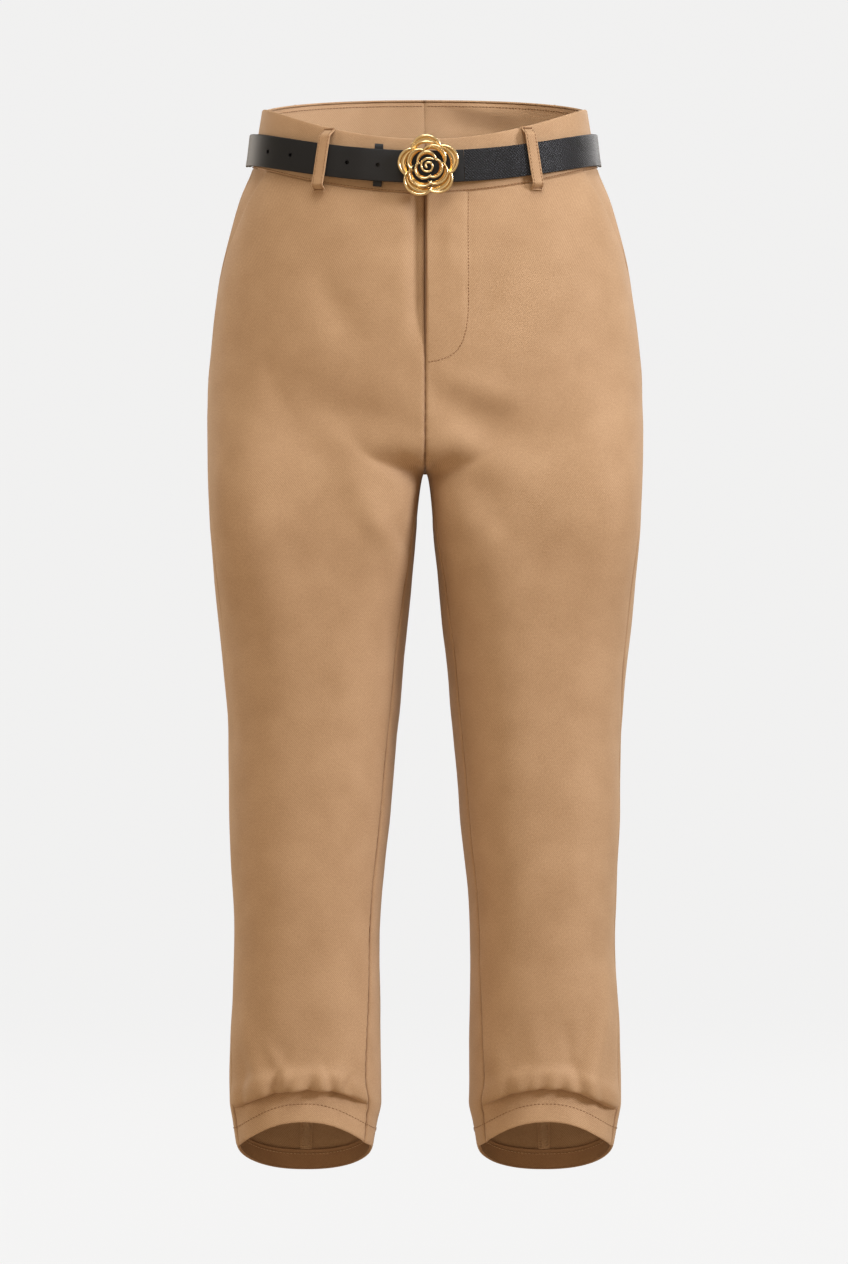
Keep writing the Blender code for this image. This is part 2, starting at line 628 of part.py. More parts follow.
def make_belt_loops(material):
    """Five loops: two on the fronts, two behind the sides and one at the middle back."""
    stand_columns = ("share_down", "of_clearance", "extra")
    stand = (
        (0.00, 0.00, 0.0003),
        (0.05, 0.00, 0.0004),
        (0.12, 0.50, 0.0004),
        (0.22, 1.00, 0.0004),
        (0.50, 1.05, 0.0004),
        (0.82, 1.00, 0.0004),
        (0.89, 0.85, 0.0005),
        (0.945, 0.35, 0.0012),
        (0.975, 0.00, 0.0019),
        (1.00, 0.00, 0.0017),
    )
    down, part, extra = (np.array([row[k] for row in stand]) for k in range(len(stand_columns)))
    for name, turn_top, turn_foot, clearance in (
        ("belt_loop_front_right", 31.5, 32.8, 0.0084),
        ("belt_loop_front_left", 325.8, 324.6, 0.0056),
        ("belt_loop_back_right", 132.0, 132.0, 0.0056),
        ("belt_loop_back_left", 228.0, 228.0, 0.0056),
        ("belt_loop_back_middle", 180.0, 180.0, 0.0056),
    ):
        turn = turn_top + (turn_foot - turn_top) * down
        _, _, across, lean = belt_path(turn, 0 * turn)
        top = WAIST_TOP + waist_tilt(across[0], lean[0], WAIST_TOP)
        middle, outward, _, _ = belt_path(turn, top - 0.0005 - down * LOOP_LENGTH)
        path = middle + outward * (part * clearance + extra)[:, None]
        along = np.cross(outward, (0, 0, 1))
        face = np.cross(along, np.gradient(path, axis=0))
        face /= np.linalg.norm(face, axis=1, keepdims=True)
        face *= np.sign((face * outward).sum(1))[:, None]
        inner = path[:, None] + along[:, None] * np.linspace(-0.5, 0.5, 3)[None, :, None] * LOOP_WIDTH
        wall(name, inner + face[:, None] * LOOP, inner, material)


def rose_height(share, angle):
    """Height of the rose's relief: rims at the edges of its petals, hollows between them, a spiral in the middle."""
    outer_rim = np.exp(-(((share - 0.97) / 0.06) ** 2))
    middle_rim = np.exp(-(((share - 0.62 - 0.03 * np.cos(4 * angle + 0.6)) / 0.05) ** 2))
    outer_lap = 0.5 + 0.5 * np.cos(5 * angle + 0.9)
    bowl = 0.0046 + 0.0022 * (1 - share**2)
    spiral = 0.0011 * np.cos(angle + 2 * np.pi * 2.2 * share / 0.45) * ease((0.46 - share) / 0.08)
    return bowl + 0.0018 * outer_rim + 0.0022 * middle_rim - 0.0012 * outer_lap * ease((share - 0.6) / 0.2) + spiral


def rose_radius(share, angle):
    """Radius of the rose at a share of the way out: five scalloped petals outside, four inside them."""
    outer = 1 + 0.055 * np.abs(np.cos(2.5 * angle + 0.45)) - 0.03
    inner = 1 + 0.04 * np.cos(4 * angle + 0.6)
    blend = ease((share - 0.45) / 0.45)
    return BUCKLE_RADIUS * share * (inner * (1 - blend) + outer * blend)


def swept(name, path, radius, material, sides=8):
    """A round bar along a path of points, closed at both ends."""
    path = np.array(path)
    forward = np.gradient(path, axis=0)
    forward /= np.linalg.norm(forward, axis=1, keepdims=True)
    first = np.array((1.0, 0.0, 0.0))
    second = np.cross(forward, first)
    second /= np.linalg.norm(second, axis=1, keepdims=True)
    angle = np.arange(sides) * 2 * np.pi / sides
    ring = path[:, None] + radius * (np.cos(angle)[None, :, None] * first + np.sin(angle)[None, :, None] * second[:, None])
    index = np.arange(len(path) * sides).reshape(len(path), sides)
    index = np.concatenate([index, index[:, :1]], axis=1)
    made = np.stack([x.reshape(-1) for x in quads(index)], axis=1).tolist()
    made += [index[0, :-1].tolist(), index[-1, :-1][::-1].tolist()]
    mesh = bpy.data.meshes.new(name)
    mesh.from_pydata(ring.reshape(-1, 3).tolist(), [], made)
    finished(name, mesh, material)


def make_buckle_back(gold):
    """The staple behind the rose that the strap's start folds round, and the stud that goes into a hole."""
    x, y, z = BUCKLE_PLACE
    deep, half = -0.1046, 0.0165
    corner = 0.0012
    up = [
        (x - 0.010, y - 0.0018, z - half),
        (x - 0.010, deep - corner, z - half),
        (x - 0.010, deep, z - half + corner),
        (x - 0.010, deep, z + half - corner),
        (x - 0.010, deep - corner, z + half),
        (x - 0.010, y - 0.0010, z + half),
    ]
    swept("buckle_staple", up, 0.0011, gold)
    turn = np.array([turn_at(FIRST_HOLE)])
    middle = strap_grid(turn, 0 * turn, strap_out(turn) + STRAP / 2)[0]
    stud = np.linspace(middle + (0, STRAP, 0), (middle[0], y - 0.0020, middle[2]), 3)
    swept("buckle_stud", stud, 0.0011, gold)


def make_buckle(gold):
    """The openwork rose: a relief on rings round its middle, with crescent gaps cut through between the petals."""
    shares = np.array([0.07, 0.17, 0.27, 0.36, 0.44, 0.53, 0.62, 0.70, 0.77, 0.87, 1.0])
    count = 40
    angle = np.arange(count) * 2 * np.pi / count
    grid_share, grid_angle = shares[:, None] + 0 * angle, angle[None, :] + 0 * shares[:, None]
    radius = rose_radius(grid_share, grid_angle)
    x, z = radius * np.cos(grid_angle), radius * np.sin(grid_angle)
    front = rose_height(grid_share, grid_angle)
    back = front - 0.0030 - 0.0010 * (1 - grid_share)
    place = np.array(BUCKLE_PLACE)
    face = np.stack([x, -front, z], axis=-1) + place
    rear = np.stack([x, -back, z], axis=-1) + place
    rings = len(shares)
    keep = np.ones((rings - 1, count), bool)
    keep[8][(np.arange(count) % 8 >= 2) & (np.arange(count) % 8 <= 5)] = False
    keep[4][((np.arange(count) + 3) % 10 >= 2) & ((np.arange(count) + 3) % 10 <= 6)] = False
    index = np.arange(rings * count).reshape(rings, count)
    under = index + rings * count
    faces = []
    for i in range(rings - 1):
        for j in range(count):
            k = (j + 1) % count
            if not keep[i, j]:
                continue
            a, b, c, d = index[i, j], index[i + 1, j], index[i + 1, k], index[i, k]
            e, f, g, h = under[i, j], under[i + 1, j], under[i + 1, k], under[i, k]
            faces += [(a, b, c, d), (h, g, f, e)]
            if i == rings - 2 or not keep[i + 1, j]:
                faces.append((b, f, g, c))
            if i > 0 and not keep[i - 1, j]:
                faces.append((a, d, h, e))
            if not keep[i, k]:
                faces.append((d, c, g, h))
            if not keep[i, j - 1]:
                faces.append((a, e, f, b))
    top, bottom = 2 * rings * count, 2 * rings * count + 1
    for j in range(count):
        k = (j + 1) % count
        faces += [(top, index[0, j], index[0, k]), (bottom, under[0, k], under[0, j])]
    middle = rose_height(np.array([0.0]), np.array([0.0]))[0] + 0.0004
    points = np.concatenate([
        face.reshape(-1, 3), rear.reshape(-1, 3), [place + (0, -middle, 0)], [place + (0, -middle + 0.004, 0)]
    ])
    mesh = bpy.data.meshes.new("buckle_rose")
    mesh.from_pydata(points.tolist(), [], [tuple(int(v) for v in f) for f in faces])
    finished("buckle_rose", mesh, gold)


def clear_scene():
    """Empties the scene and makes the two collections."""
    for old in list(bpy.data.objects):
        bpy.data.objects.remove(old)
    for name in ("Trousers", "Cutters"):
        bpy.context.scene.collection.children.link(bpy.data.collections.new(name))
    bpy.data.collections["Cutters"].hide_render = True


def main():
    """Builds the trousers, their belt and its buckle."""
    clear_scene()
    twill, inside, leather, gold = (paint(*kind) for kind in (TWILL, TWILL_INSIDE, LEATHER, GOLD))
    make_legs(twill, inside)
    make_fly(inside)
    make_belt(leather)
    make_keeper(leather)
    make_belt_loops(twill)
    make_buckle(gold)
    make_buckle_back(gold)


main()
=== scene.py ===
"""Camel straight-leg ankle trousers, filled out as if worn, with their own belt and rose buckle.

Metres, +Z up. The front faces -Y and the wearer's left is +X. Every cloth piece follows one skin: a hip ring above
the crotch that parts into two leg loops below it. A place on one half of the skin has two numbers: around, from 0 at
the inner edge of the front over 1 at the side seam to 2 at the inner edge of the back, and level, a height.
"""

from __future__ import annotations

import logging
import math
import sys
from dataclasses import dataclass, field
from enum import Enum

import bmesh
import bpy
import numpy as np
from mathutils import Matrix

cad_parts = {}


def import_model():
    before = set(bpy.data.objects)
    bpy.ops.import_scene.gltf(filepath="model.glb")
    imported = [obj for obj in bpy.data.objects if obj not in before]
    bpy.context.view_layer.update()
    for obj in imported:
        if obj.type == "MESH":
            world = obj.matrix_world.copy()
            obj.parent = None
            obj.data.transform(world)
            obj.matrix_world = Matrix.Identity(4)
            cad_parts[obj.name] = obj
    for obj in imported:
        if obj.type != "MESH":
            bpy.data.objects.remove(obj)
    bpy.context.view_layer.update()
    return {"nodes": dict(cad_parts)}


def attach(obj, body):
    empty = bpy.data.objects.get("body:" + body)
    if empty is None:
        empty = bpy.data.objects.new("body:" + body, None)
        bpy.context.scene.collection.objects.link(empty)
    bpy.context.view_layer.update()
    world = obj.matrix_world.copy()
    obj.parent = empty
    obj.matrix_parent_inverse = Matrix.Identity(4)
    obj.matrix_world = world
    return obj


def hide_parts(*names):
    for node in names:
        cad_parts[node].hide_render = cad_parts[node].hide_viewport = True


Array = np.ndarray
LOG = logging.getLogger("trousers")
CAD_BODY = "root"


class Side(Enum):
    """One half of the wearer."""

    RIGHT = -1
    LEFT = 1

    @property
    def word(self) -> str:
        """The half's name as the pieces carry it."""
        return self.name.lower()


class Slot(Enum):
    """The material slots of the record."""

    TWILL = "camel_twill"
    INSIDE = "camel_twill_inside"
    LEATHER = "belt_leather"
    GOLD = "gold"


# ---------------------------------------------------------------- small numeric tools


def ease(x: Array) -> Array:
    """Smooth step: 0 below 0, 1 above 1, three x squared less two x cubed between.

    Args:
        x: Any numbers.

    Returns:
        The eased numbers.
    """
    x = np.clip(x, 0.0, 1.0)
    return x * x * (3 - 2 * x)


def power(x: Array, exponent: float) -> Array:
    """x to an exponent, keeping its sign."""
    return np.sign(x) * np.abs(x) ** exponent


def unit(v: Array) -> Array:
    """Vectors of length one along the last axis."""
    return v / np.maximum(np.linalg.norm(v, axis=-1, keepdims=True), 1e-12)


def bell(x: Array, sharp: float = 2.0) -> Array:
    """A bell of height one: e to the minus size of x to the power sharp."""
    return np.exp(-(np.abs(x) ** sharp))


def packed(count: int, crowd: float = 0.8) -> Array:
    """Numbers from 0 to 1 that crowd at both ends: t less a part of the sine of its whole turn.

    Args:
        count: How many numbers.
        crowd: 0 for even steps, near 1 for very small end steps.

    Returns:
        The numbers.
    """
    t = np.linspace(0.0, 1.0, count)
    return t - crowd * np.sin(2 * np.pi * t) / (2 * np.pi)


def run_length(points: Array, axis: int = 0) -> Array:
    """Length along rows of points, starting at 0."""
    step = np.linalg.norm(np.diff(points, axis=axis), axis=-1)
    start = np.zeros_like(np.take(step, [0], axis=axis))
    return np.concatenate([start, np.cumsum(step, axis=axis)], axis=axis)


# ---------------------------------------------------------------- the skin


@dataclass(frozen=True)
class Skin:
    """The hollow form that the cloth follows, in the same sizes as the solids."""

    waist_top: float = 0.0430
    waist_seam: float = -0.0083
    waist_dip: float = 0.0270
    waist_lift: float = 0.0170
    crotch: float = -0.2720
    hem: float = -0.8570
    crease: float = -0.8252
    pocket_end: float = -0.1050
    pocket_slant: float = 0.200
    ring: float = 2 / 2.35
    # level, how far out and in a leg reaches from the middle, its front and its back
    sections: tuple[tuple[float, ...], ...] = (
        (0.0600, 0.1390, 0.0000, -0.0985, 0.1025),
        (0.0430, 0.1415, 0.0000, -0.1000, 0.1040),
        (0.0200, 0.1452, 0.0000, -0.1018, 0.1058),
        (-0.0083, 0.1500, 0.0000, -0.1040, 0.1080),
        (-0.0348, 0.1608, 0.0000, -0.1058, 0.1130),
        (-0.0522, 0.1660, 0.0000, -0.1070, 0.1180),
        (-0.0870, 0.1750, 0.0000, -0.1090, 0.1240),
        (-0.1218, 0.1810, 0.0000, -0.1102, 0.1280),
        (-0.1566, 0.1853, 0.0000, -0.1110, 0.1300),
        (-0.1914, 0.1884, 0.0000, -0.1110, 0.1292),
        (-0.2350, 0.1892, 0.0000, -0.1104, 0.1255),
        (-0.2720, 0.1890, 0.0000, -0.1090, 0.1170),
        (-0.2770, 0.1888, 0.0026, -0.1084, 0.1158),
        (-0.2958, 0.1880, 0.0048, -0.1070, 0.1100),
        (-0.3306, 0.1857, 0.0078, -0.1040, 0.1030),
        (-0.3654, 0.1831, 0.0113, -0.1004, 0.0982),
        (-0.4002, 0.1797, 0.0144, -0.0970, 0.0940),
        (-0.4350, 0.1762, 0.0183, -0.0930, 0.0910),
        (-0.4698, 0.1727, 0.0213, -0.0890, 0.0880),
        (-0.5046, 0.1704, 0.0248, -0.0855, 0.0850),
        (-0.5742, 0.1695, 0.0308, -0.0800, 0.0810),
        (-0.6438, 0.1663, 0.0378, -0.0740, 0.0770),
        (-0.6786, 0.1652, 0.0394, -0.0706, 0.0742),
        (-0.7134, 0.1667, 0.0392, -0.0680, 0.0720),
        (-0.7656, 0.1695, 0.0383, -0.0655, 0.0695),
        (-0.8178, 0.1703, 0.0380, -0.0650, 0.0680),
        (-0.8352, 0.1675, 0.0416, -0.0620, 0.0640),
        (-0.8570, 0.1640, 0.0450, -0.0585, 0.0600),
    )
    # level, degrees that the side seam and the inseam run in front of the outermost and innermost lines
    seams: tuple[tuple[float, ...], ...] = (
        (-0.0083, 8.0, 0.0),
        (-0.0600, 7.0, 0.0),
        (-0.1000, 4.0, 0.0),
        (-0.2100, 3.0, 0.0),
        (-0.2720, 8.0, 6.0),
        (-0.3130, 15.0, 20.0),
        (-0.3760, 21.0, 25.0),
        (-0.4360, 19.0, 26.5),
        (-0.5100, 8.0, 28.0),
        (-0.7050, 7.0, 31.0),
        (-0.7660, 15.0, 36.0),
        (-0.8060, 16.0, 38.0),
        (-0.8290, 17.0, 32.0),
        (-0.8570, 18.0, 30.0),
    )

    def curve(self, table: tuple[tuple[float, ...], ...], column: int, level: Array) -> Array:
        """Reads a column at any height, with a cubic through its rows that doesn't overshoot.

        Args:
            table: Rows that start with a height.
            column: Which column.
            level: Heights.

        Returns:
            The column's values there.
        """
        rows = np.array(table)[::-1]
        at, value = rows[:, 0], rows[:, column]
        step = np.diff(at)
        slope = np.diff(value) / step
        same = slope[:-1] * slope[1:] > 0
        tangent = np.zeros(len(at))
        tangent[1:-1] = np.where(same, 2 * slope[:-1] * slope[1:] / np.where(same, slope[:-1] + slope[1:], 1), 0)
        tangent[0], tangent[-1] = slope[0], slope[-1]
        level = np.clip(level, at[0], at[-1])
        k = np.clip(np.searchsorted(at, level, side="right") - 1, 0, len(step) - 1)
        t = (level - at[k]) / step[k]
        ends = (1 - t) * tangent[k] - t * tangent[k + 1]
        return value[k] + (value[k + 1] - value[k]) * (t * t * (3 - 2 * t)) + t * (1 - t) * step[k] * ends

    def drop(self, across: Array, lean: Array, dip: Array | float, lift: float) -> Array:
        """How far a line round the waist lies above its height at the side: lower in front by one less the share
        across squared, higher behind by the share back to the power 1.3."""
        return np.where(lean < 0, -dip * (1 - across**2), lift * np.abs(lean) ** 1.3)

    def waist_tilt(self, across: Array, lean: Array, level: Array) -> Array:
        """The waist's drop, which fades out over the hips."""
        dip = self.waist_dip + 0.09 * (level - self.waist_seam)
        return self.drop(across, lean, dip, self.waist_lift) * ease((level + 0.190) / 0.170)

    def hem_tilt(self, angle: Array, level: Array) -> Array:
        """The hem arches up at the front of a leg and hangs lower at its back."""
        front = 0.0243 * np.cos(0.5 * np.pi * np.cos(angle))
        tilt = np.where(np.sin(angle) < 0, front, -0.0257 * np.abs(np.sin(angle)))
        return tilt * ease((-0.700 - level) / 0.150)

    def hip_ring(self, angle: Array, level: Array) -> Array:
        """A superellipse round the hips: angle 0 is the side and minus 90 degrees the middle front."""
        across, lean = power(np.cos(angle), self.ring), power(np.sin(angle), self.ring)
        depth = np.where(lean < 0, -self.curve(self.sections, 3, level), self.curve(self.sections, 4, level))
        tilt = self.waist_tilt(across, lean, level)
        return np.stack([self.curve(self.sections, 1, level) * across, depth * lean, level + tilt], axis=-1)

    def leg_loop(self, angle: Array, level: Array) -> Array:
        """A superellipse round a leg, squarer toward the crotch: angle 0 is outermost and minus 90 degrees the front."""
        square = 2 / (2.3 + 2.2 * ease((level + 0.420) / 0.140) * (np.sin(angle) < 0))
        outer, inner, front, back = (self.curve(self.sections, k, level) for k in (1, 2, 3, 4))
        across = (outer + inner) / 2 + (outer - inner) / 2 * power(np.cos(angle), square)
        along = (front + back) / 2 + (back - front) / 2 * power(np.sin(angle), square)
        return np.stack([across, along, level + self.hem_tilt(angle, level)], axis=-1)

    def turned(self, level: Array, rise: float, squareness: float) -> Array:
        """How far the crotch seam has turned under: a superellipse quarter over the rise."""
        share = np.clip(1 - (level - self.crotch) / rise, 0.0, 1.0)
        return 1 - (1 - share**squareness) ** (1 / squareness)

    def at(self, around: Array, level: Array) -> Array:
        """Points of the skin of the wearer's left half: hip ring and leg loop blended by height.

        Args:
            around: Places around, 0 to 2.
            level: Heights, same shape.

        Returns:
            Points, with a last axis of three.
        """
        side = np.radians(self.curve(self.seams, 1, level))
        inseam = np.radians(self.curve(self.seams, 2, level))
        front, back = np.minimum(around, 1), np.maximum(around - 1, 0)
        quarter = np.pi / 2
        hip = np.where(around < 1, -quarter + front * (quarter - side), -side + back * (quarter + side))
        leg = np.where(
            around < 1, -(np.pi - inseam) + front * (np.pi - inseam - side), -side + back * (np.pi + side + inseam)
        )
        toward_back = ease((around - 0.6) / 0.8)
        at_seam = self.turned(level, 0.034, 3.2) * (1 - toward_back) + self.turned(level, 0.110, 2.2) * toward_back
        away = ease(np.minimum(around / 0.42, (2 - around) / 0.35))
        weight = at_seam + (ease((-0.165 - level) / 0.165) - at_seam) * away
        ring = self.hip_ring(hip, level)
        return ring + weight[..., None] * (self.leg_loop(leg, level) - ring)

    def outward(self, around: Array, level: Array) -> Array:
        """Directions out from the skin: the cross product of its two slopes."""
        inside = np.clip(around, 2e-4, 2 - 2e-4)
        along = self.at(inside + 1e-4, level) - self.at(inside - 1e-4, level)
        up = self.at(inside, level + 1e-5) - self.at(inside, level - 1e-5)
        return unit(np.cross(along, up))

    def leg_middle(self, level: Array) -> Array:
        """Where, around, the seam down the middle of the back of a leg runs."""
        side, inseam = self.curve(self.seams, 1, level), self.curve(self.seams, 2, level)
        return 1 + (90 + side) / (180 + side + inseam)

    def mouth(self, level: Array) -> Array:
        """Where, around, the front stops: at the slanted pocket mouth, or at the side seam below it."""
        share = np.clip((level - self.pocket_end) / (self.waist_seam - self.pocket_end), 0, 1)
        return 1 - self.pocket_slant * share

    def find(self, x: Array, z: Array) -> tuple[Array, Array]:
        """Places on the front that lie at a distance from the middle and a height, by Newton's steps.

        Args:
            x: Distances from the middle.
            z: Heights.

        Returns:
            The places around and their levels.
        """
        around, level = np.clip(np.asarray(x, float) / 0.19, 0.02, 0.9), np.asarray(z, float).copy()
        for _ in range(12):
            here = self.at(around, level)
            right = (self.at(around + 1e-4, level) - here) / 1e-4
            up = (self.at(around, level + 1e-5) - here) / 1e-5
            dx, dz = x - here[..., 0], z - here[..., 2]
            det = right[..., 0] * up[..., 2] - right[..., 2] * up[..., 0]
            around = np.clip(around + 0.8 * (dx * up[..., 2] - dz * up[..., 0]) / det, 0.001, 0.999)
            level = level + 0.8 * (dz * right[..., 0] - dx * right[..., 2]) / det
        return around, level


@dataclass(frozen=True)
class Fold:
    """A fold on a front, along a bow through three places (distance from the middle, height).

    A positive depth is a ridge. Sharp is 2 for a soft swell and near 1 for a crease.
    """

    side: Side
    path: tuple[tuple[float, float], tuple[float, float], tuple[float, float]]
    width: float
    depth: float
    sharp: float = 2.0

    def push(self, x: Array, z: Array) -> Array:
        """How far the fold stands out: a bell across a quadratic bow, fading to both ends."""
        t = np.linspace(0, 1, 11)[:, None]
        a, b, c = (np.array(p) for p in self.path)
        bow = (1 - t) ** 2 * a + 2 * t * (1 - t) * (2 * b - (a + c) / 2) + t**2 * c
        best = np.full(x.shape, 1e9)
        share = np.zeros(x.shape)
        for k in range(10):
            d = bow[k + 1] - bow[k]
            s = np.clip(((x - bow[k, 0]) * d[0] + (z - bow[k, 1]) * d[1]) / (d @ d), 0, 1)
            away = np.hypot(x - bow[k, 0] - s * d[0], z - bow[k, 1] - s * d[1])
            share = np.where(away < best, (k + s) / 10, share)
            best = np.minimum(best, away)
        fade = np.sin(np.pi * (0.06 + 0.88 * share)) ** 0.8
        return 1.2 * self.depth * bell(best / self.width, self.sharp) * fade


@dataclass(frozen=True)
class Gather:
    """A small pleat pushed up above the hem crease."""

    side: Side
    x: float
    width: float
    depth: float
    height: float
    slant: float = 0.0


R, L = Side.RIGHT, Side.LEFT


@dataclass(frozen=True)
class Drape:
    """How the cloth departs from the skin: folds, gathers, the crease above the hem, the fly and seams."""

    skin: Skin
    crease_depth: float = 0.0084
    crease_bulge: float = 0.0046
    seam_roll: float = 0.0015
    folds: tuple[Fold, ...] = (
        # wearer's left
        Fold(L, ((0.006, -0.205), (0.055, -0.236), (0.108, -0.252)), 0.018, -0.0030, 2.0),
        Fold(L, ((0.006, -0.186), (0.045, -0.203), (0.085, -0.212)), 0.013, 0.0024),
        Fold(L, ((0.024, -0.272), (0.050, -0.298), (0.078, -0.338)), 0.012, -0.0024, 1.7),
        Fold(L, ((0.016, -0.240), (0.050, -0.262), (0.085, -0.272)), 0.012, 0.0030),
        Fold(L, ((0.083, -0.070), (0.062, -0.112), (0.044, -0.156)), 0.009, -0.0018, 1.6),
        Fold(L, ((0.066, -0.080), (0.054, -0.110), (0.042, -0.132)), 0.006, -0.0008, 1.6),
        Fold(L, ((0.150, -0.130), (0.110, -0.165), (0.070, -0.180)), 0.020, -0.0010),
        Fold(L, ((0.060, -0.690), (0.110, -0.698), (0.158, -0.690)), 0.006, -0.0004, 1.5),
        Fold(L, ((0.158, -0.705), (0.150, -0.765), (0.138, -0.815)), 0.009, 0.0030),
        Fold(L, ((0.142, -0.740), (0.135, -0.780), (0.126, -0.806)), 0.006, -0.0012, 1.6),
        Fold(L, ((0.094, -0.740), (0.096, -0.770), (0.104, -0.795)), 0.009, 0.0016),
        Fold(L, ((0.120, -0.745), (0.124, -0.765), (0.128, -0.790)), 0.007, -0.0016),
        Fold(L, ((0.055, -0.760), (0.064, -0.785), (0.078, -0.805)), 0.008, 0.0016),
        Fold(L, ((0.050, -0.420), (0.075, -0.470), (0.085, -0.540)), 0.022, 0.0012),
        Fold(L, ((0.060, -0.330), (0.072, -0.520), (0.070, -0.800)), 0.026, 0.0020),
        Fold(L, ((0.130, -0.300), (0.128, -0.520), (0.128, -0.800)), 0.030, -0.0016),
        # wearer's right
        Fold(R, ((0.146, -0.200), (0.142, -0.500), (0.136, -0.800)), 0.028, 0.0024),
        Fold(R, ((0.074, -0.300), (0.074, -0.550), (0.080, -0.800)), 0.030, -0.0026),
        Fold(R, ((0.094, -0.238), (0.055, -0.256), (0.008, -0.264)), 0.014, 0.0026),
        Fold(R, ((0.098, -0.210), (0.052, -0.224), (0.006, -0.228)), 0.016, -0.0016),
        Fold(R, ((0.072, -0.276), (0.048, -0.306), (0.018, -0.352)), 0.014, 0.0030),
        Fold(R, ((0.040, -0.292), (0.026, -0.318), (0.012, -0.345)), 0.007, -0.0018, 1.6),
        Fold(R, ((0.102, -0.085), (0.078, -0.130), (0.050, -0.172)), 0.014, -0.0018),
        Fold(R, ((0.140, -0.120), (0.112, -0.160), (0.090, -0.190)), 0.020, 0.0008),
        Fold(R, ((0.158, -0.740), (0.150, -0.775), (0.138, -0.812)), 0.008, 0.0022),
        Fold(R, ((0.136, -0.765), (0.122, -0.790), (0.106, -0.812)), 0.006, 0.0022, 1.6),
        Fold(R, ((0.092, -0.780), (0.086, -0.796), (0.080, -0.812)), 0.006, 0.0022),
        Fold(R, ((0.060, -0.790), (0.068, -0.802), (0.078, -0.812)), 0.0045, -0.0026, 1.5),
        Fold(R, ((0.052, -0.430), (0.078, -0.480), (0.088, -0.560)), 0.022, 0.0012),
    )
    gathers: tuple[Gather, ...] = (
        Gather(R, 0.160, 0.0050, 0.0046, 0.044, -0.10),
        Gather(R, 0.132, 0.0042, 0.0052, 0.036, -0.30),
        Gather(R, 0.121, 0.0036, 0.0036, 0.022, -0.45),
        Gather(R, 0.102, 0.0042, 0.0048, 0.020, -0.30),
        Gather(R, 0.078, 0.0046, 0.0050, 0.030, 0.40),
        Gather(R, 0.060, 0.0040, 0.0026, 0.016, 0.30),
        Gather(L, 0.074, 0.0046, 0.0048, 0.026, -0.20),
        Gather(L, 0.088, 0.0034, 0.0024, 0.014, 0.10),
        Gather(L, 0.101, 0.0044, 0.0050, 0.020, 0.15),
        Gather(L, 0.117, 0.0044, 0.0046, 0.022, 0.20),
        Gather(L, 0.137, 0.0050, 0.0044, 0.028, -0.30),
        Gather(L, 0.154, 0.0040, 0.0030, 0.018, -0.30),
    )

    def swell(self, side: Side, around: Array, level: Array, at: Array) -> tuple[Array, Array]:
        """How far the cloth stands out from the skin and how far it sags.

        Args:
            side: The half.
            around: Places around.
            level: Heights.
            at: The skin's points there.

        Returns:
            Distances out and distances down, in metres.
        """
        x, z = at[..., 0], at[..., 2]
        turn = 1.7 * side.value
        out = 0.00035 * np.sin(58 * x + 31 * z + turn) * np.sin(44 * z - 19 * x * side.value)
        out += 0.00022 * np.sin(121 * x - 83 * z + 2 * turn) * np.sin(37 * z + 3 * at[..., 1] * 60)
        front = around < 1
        for fold in self.folds:
            if fold.side is side:
                out = out + np.where(front, fold.push(x, z), 0.0)
        face = np.where(front, np.clip(np.sin(np.pi * np.clip(around, 0, 1)), 0, 1) ** 0.5, 0.0)
        rise = level - self.skin.crease - 0.0008 * np.sin(55 * x + turn)
        above = rise > 0
        below = np.clip(-rise / 0.0318, 0, 1)
        notch = np.where(above, bell(rise / 0.0026, 1.5), (1 - below) ** 1.05)
        bulge = np.where(above, bell((rise - 0.0105) / 0.0100), 0.6 * below)
        out = out + face * (self.crease_bulge * bulge - self.crease_depth * notch)
        sag = face * 0.0058 * bell((rise - 0.0045) / 0.0055) * above
        for g in self.gathers:
            if g.side is side:
                up = np.clip(rise / (1.5 * g.height), 0, 1)
                reach = np.where(above, (1 - up) ** 1.4 * ease(0.4 + rise / 0.004), 0.25 * bell(rise / 0.005))
                wide = g.width * (0.95 + 1.3 * up)
                out = out - 1.5 * g.depth * reach * bell((x - g.x - g.slant * np.maximum(rise, 0)) / wide, 1.7) * face
        out = out * ease(np.minimum(around, 2 - around) / 0.03 + 0.25)
        if side is R:
            out = out - np.where(front, 0.0072 * self.fly_open(level) * bell(x / 0.0130, 2.6), 0.0)
        else:
            swollen = bell((x - 0.021) / 0.0060) * ease((-0.030 - level) / 0.02) * ease((level + 0.100) / 0.03)
            out = out + np.where(front, 0.0012 * self.fly_open(level) * (1 - ease((x - 0.030) / 0.012)), 0.0)
            out = out + np.where(front, 0.0010 * swollen - 0.0007 * bell((x - 0.0372) / 0.0024) * self.fly_open(level), 0)
        return out, sag

    def fly_open(self, level: Array) -> Array:
        """How open the fly's lap stands: all of it above, closing over 7 cm to its foot."""
        return ease((level + 0.182) / 0.070) ** 0.8

    def cloth(self, side: Side, around: Array, level: Array) -> tuple[Array, Array]:
        """Points on the outside of the cloth and the directions out from the skin.

        Args:
            side: The half.
            around: Places around.
            level: Heights.

        Returns:
            Points and directions, on the wearer's left or mirrored to the right.
        """
        at, outward = self.skin.at(around, level), self.skin.outward(around, level)
        out, sag = self.swell(side, around, level, at)
        at = at + outward * out[..., None]
        at[..., 2] -= sag
        flip = np.array([side.value, 1.0, 1.0])
        return at * flip, outward * flip


# ---------------------------------------------------------------- meshes


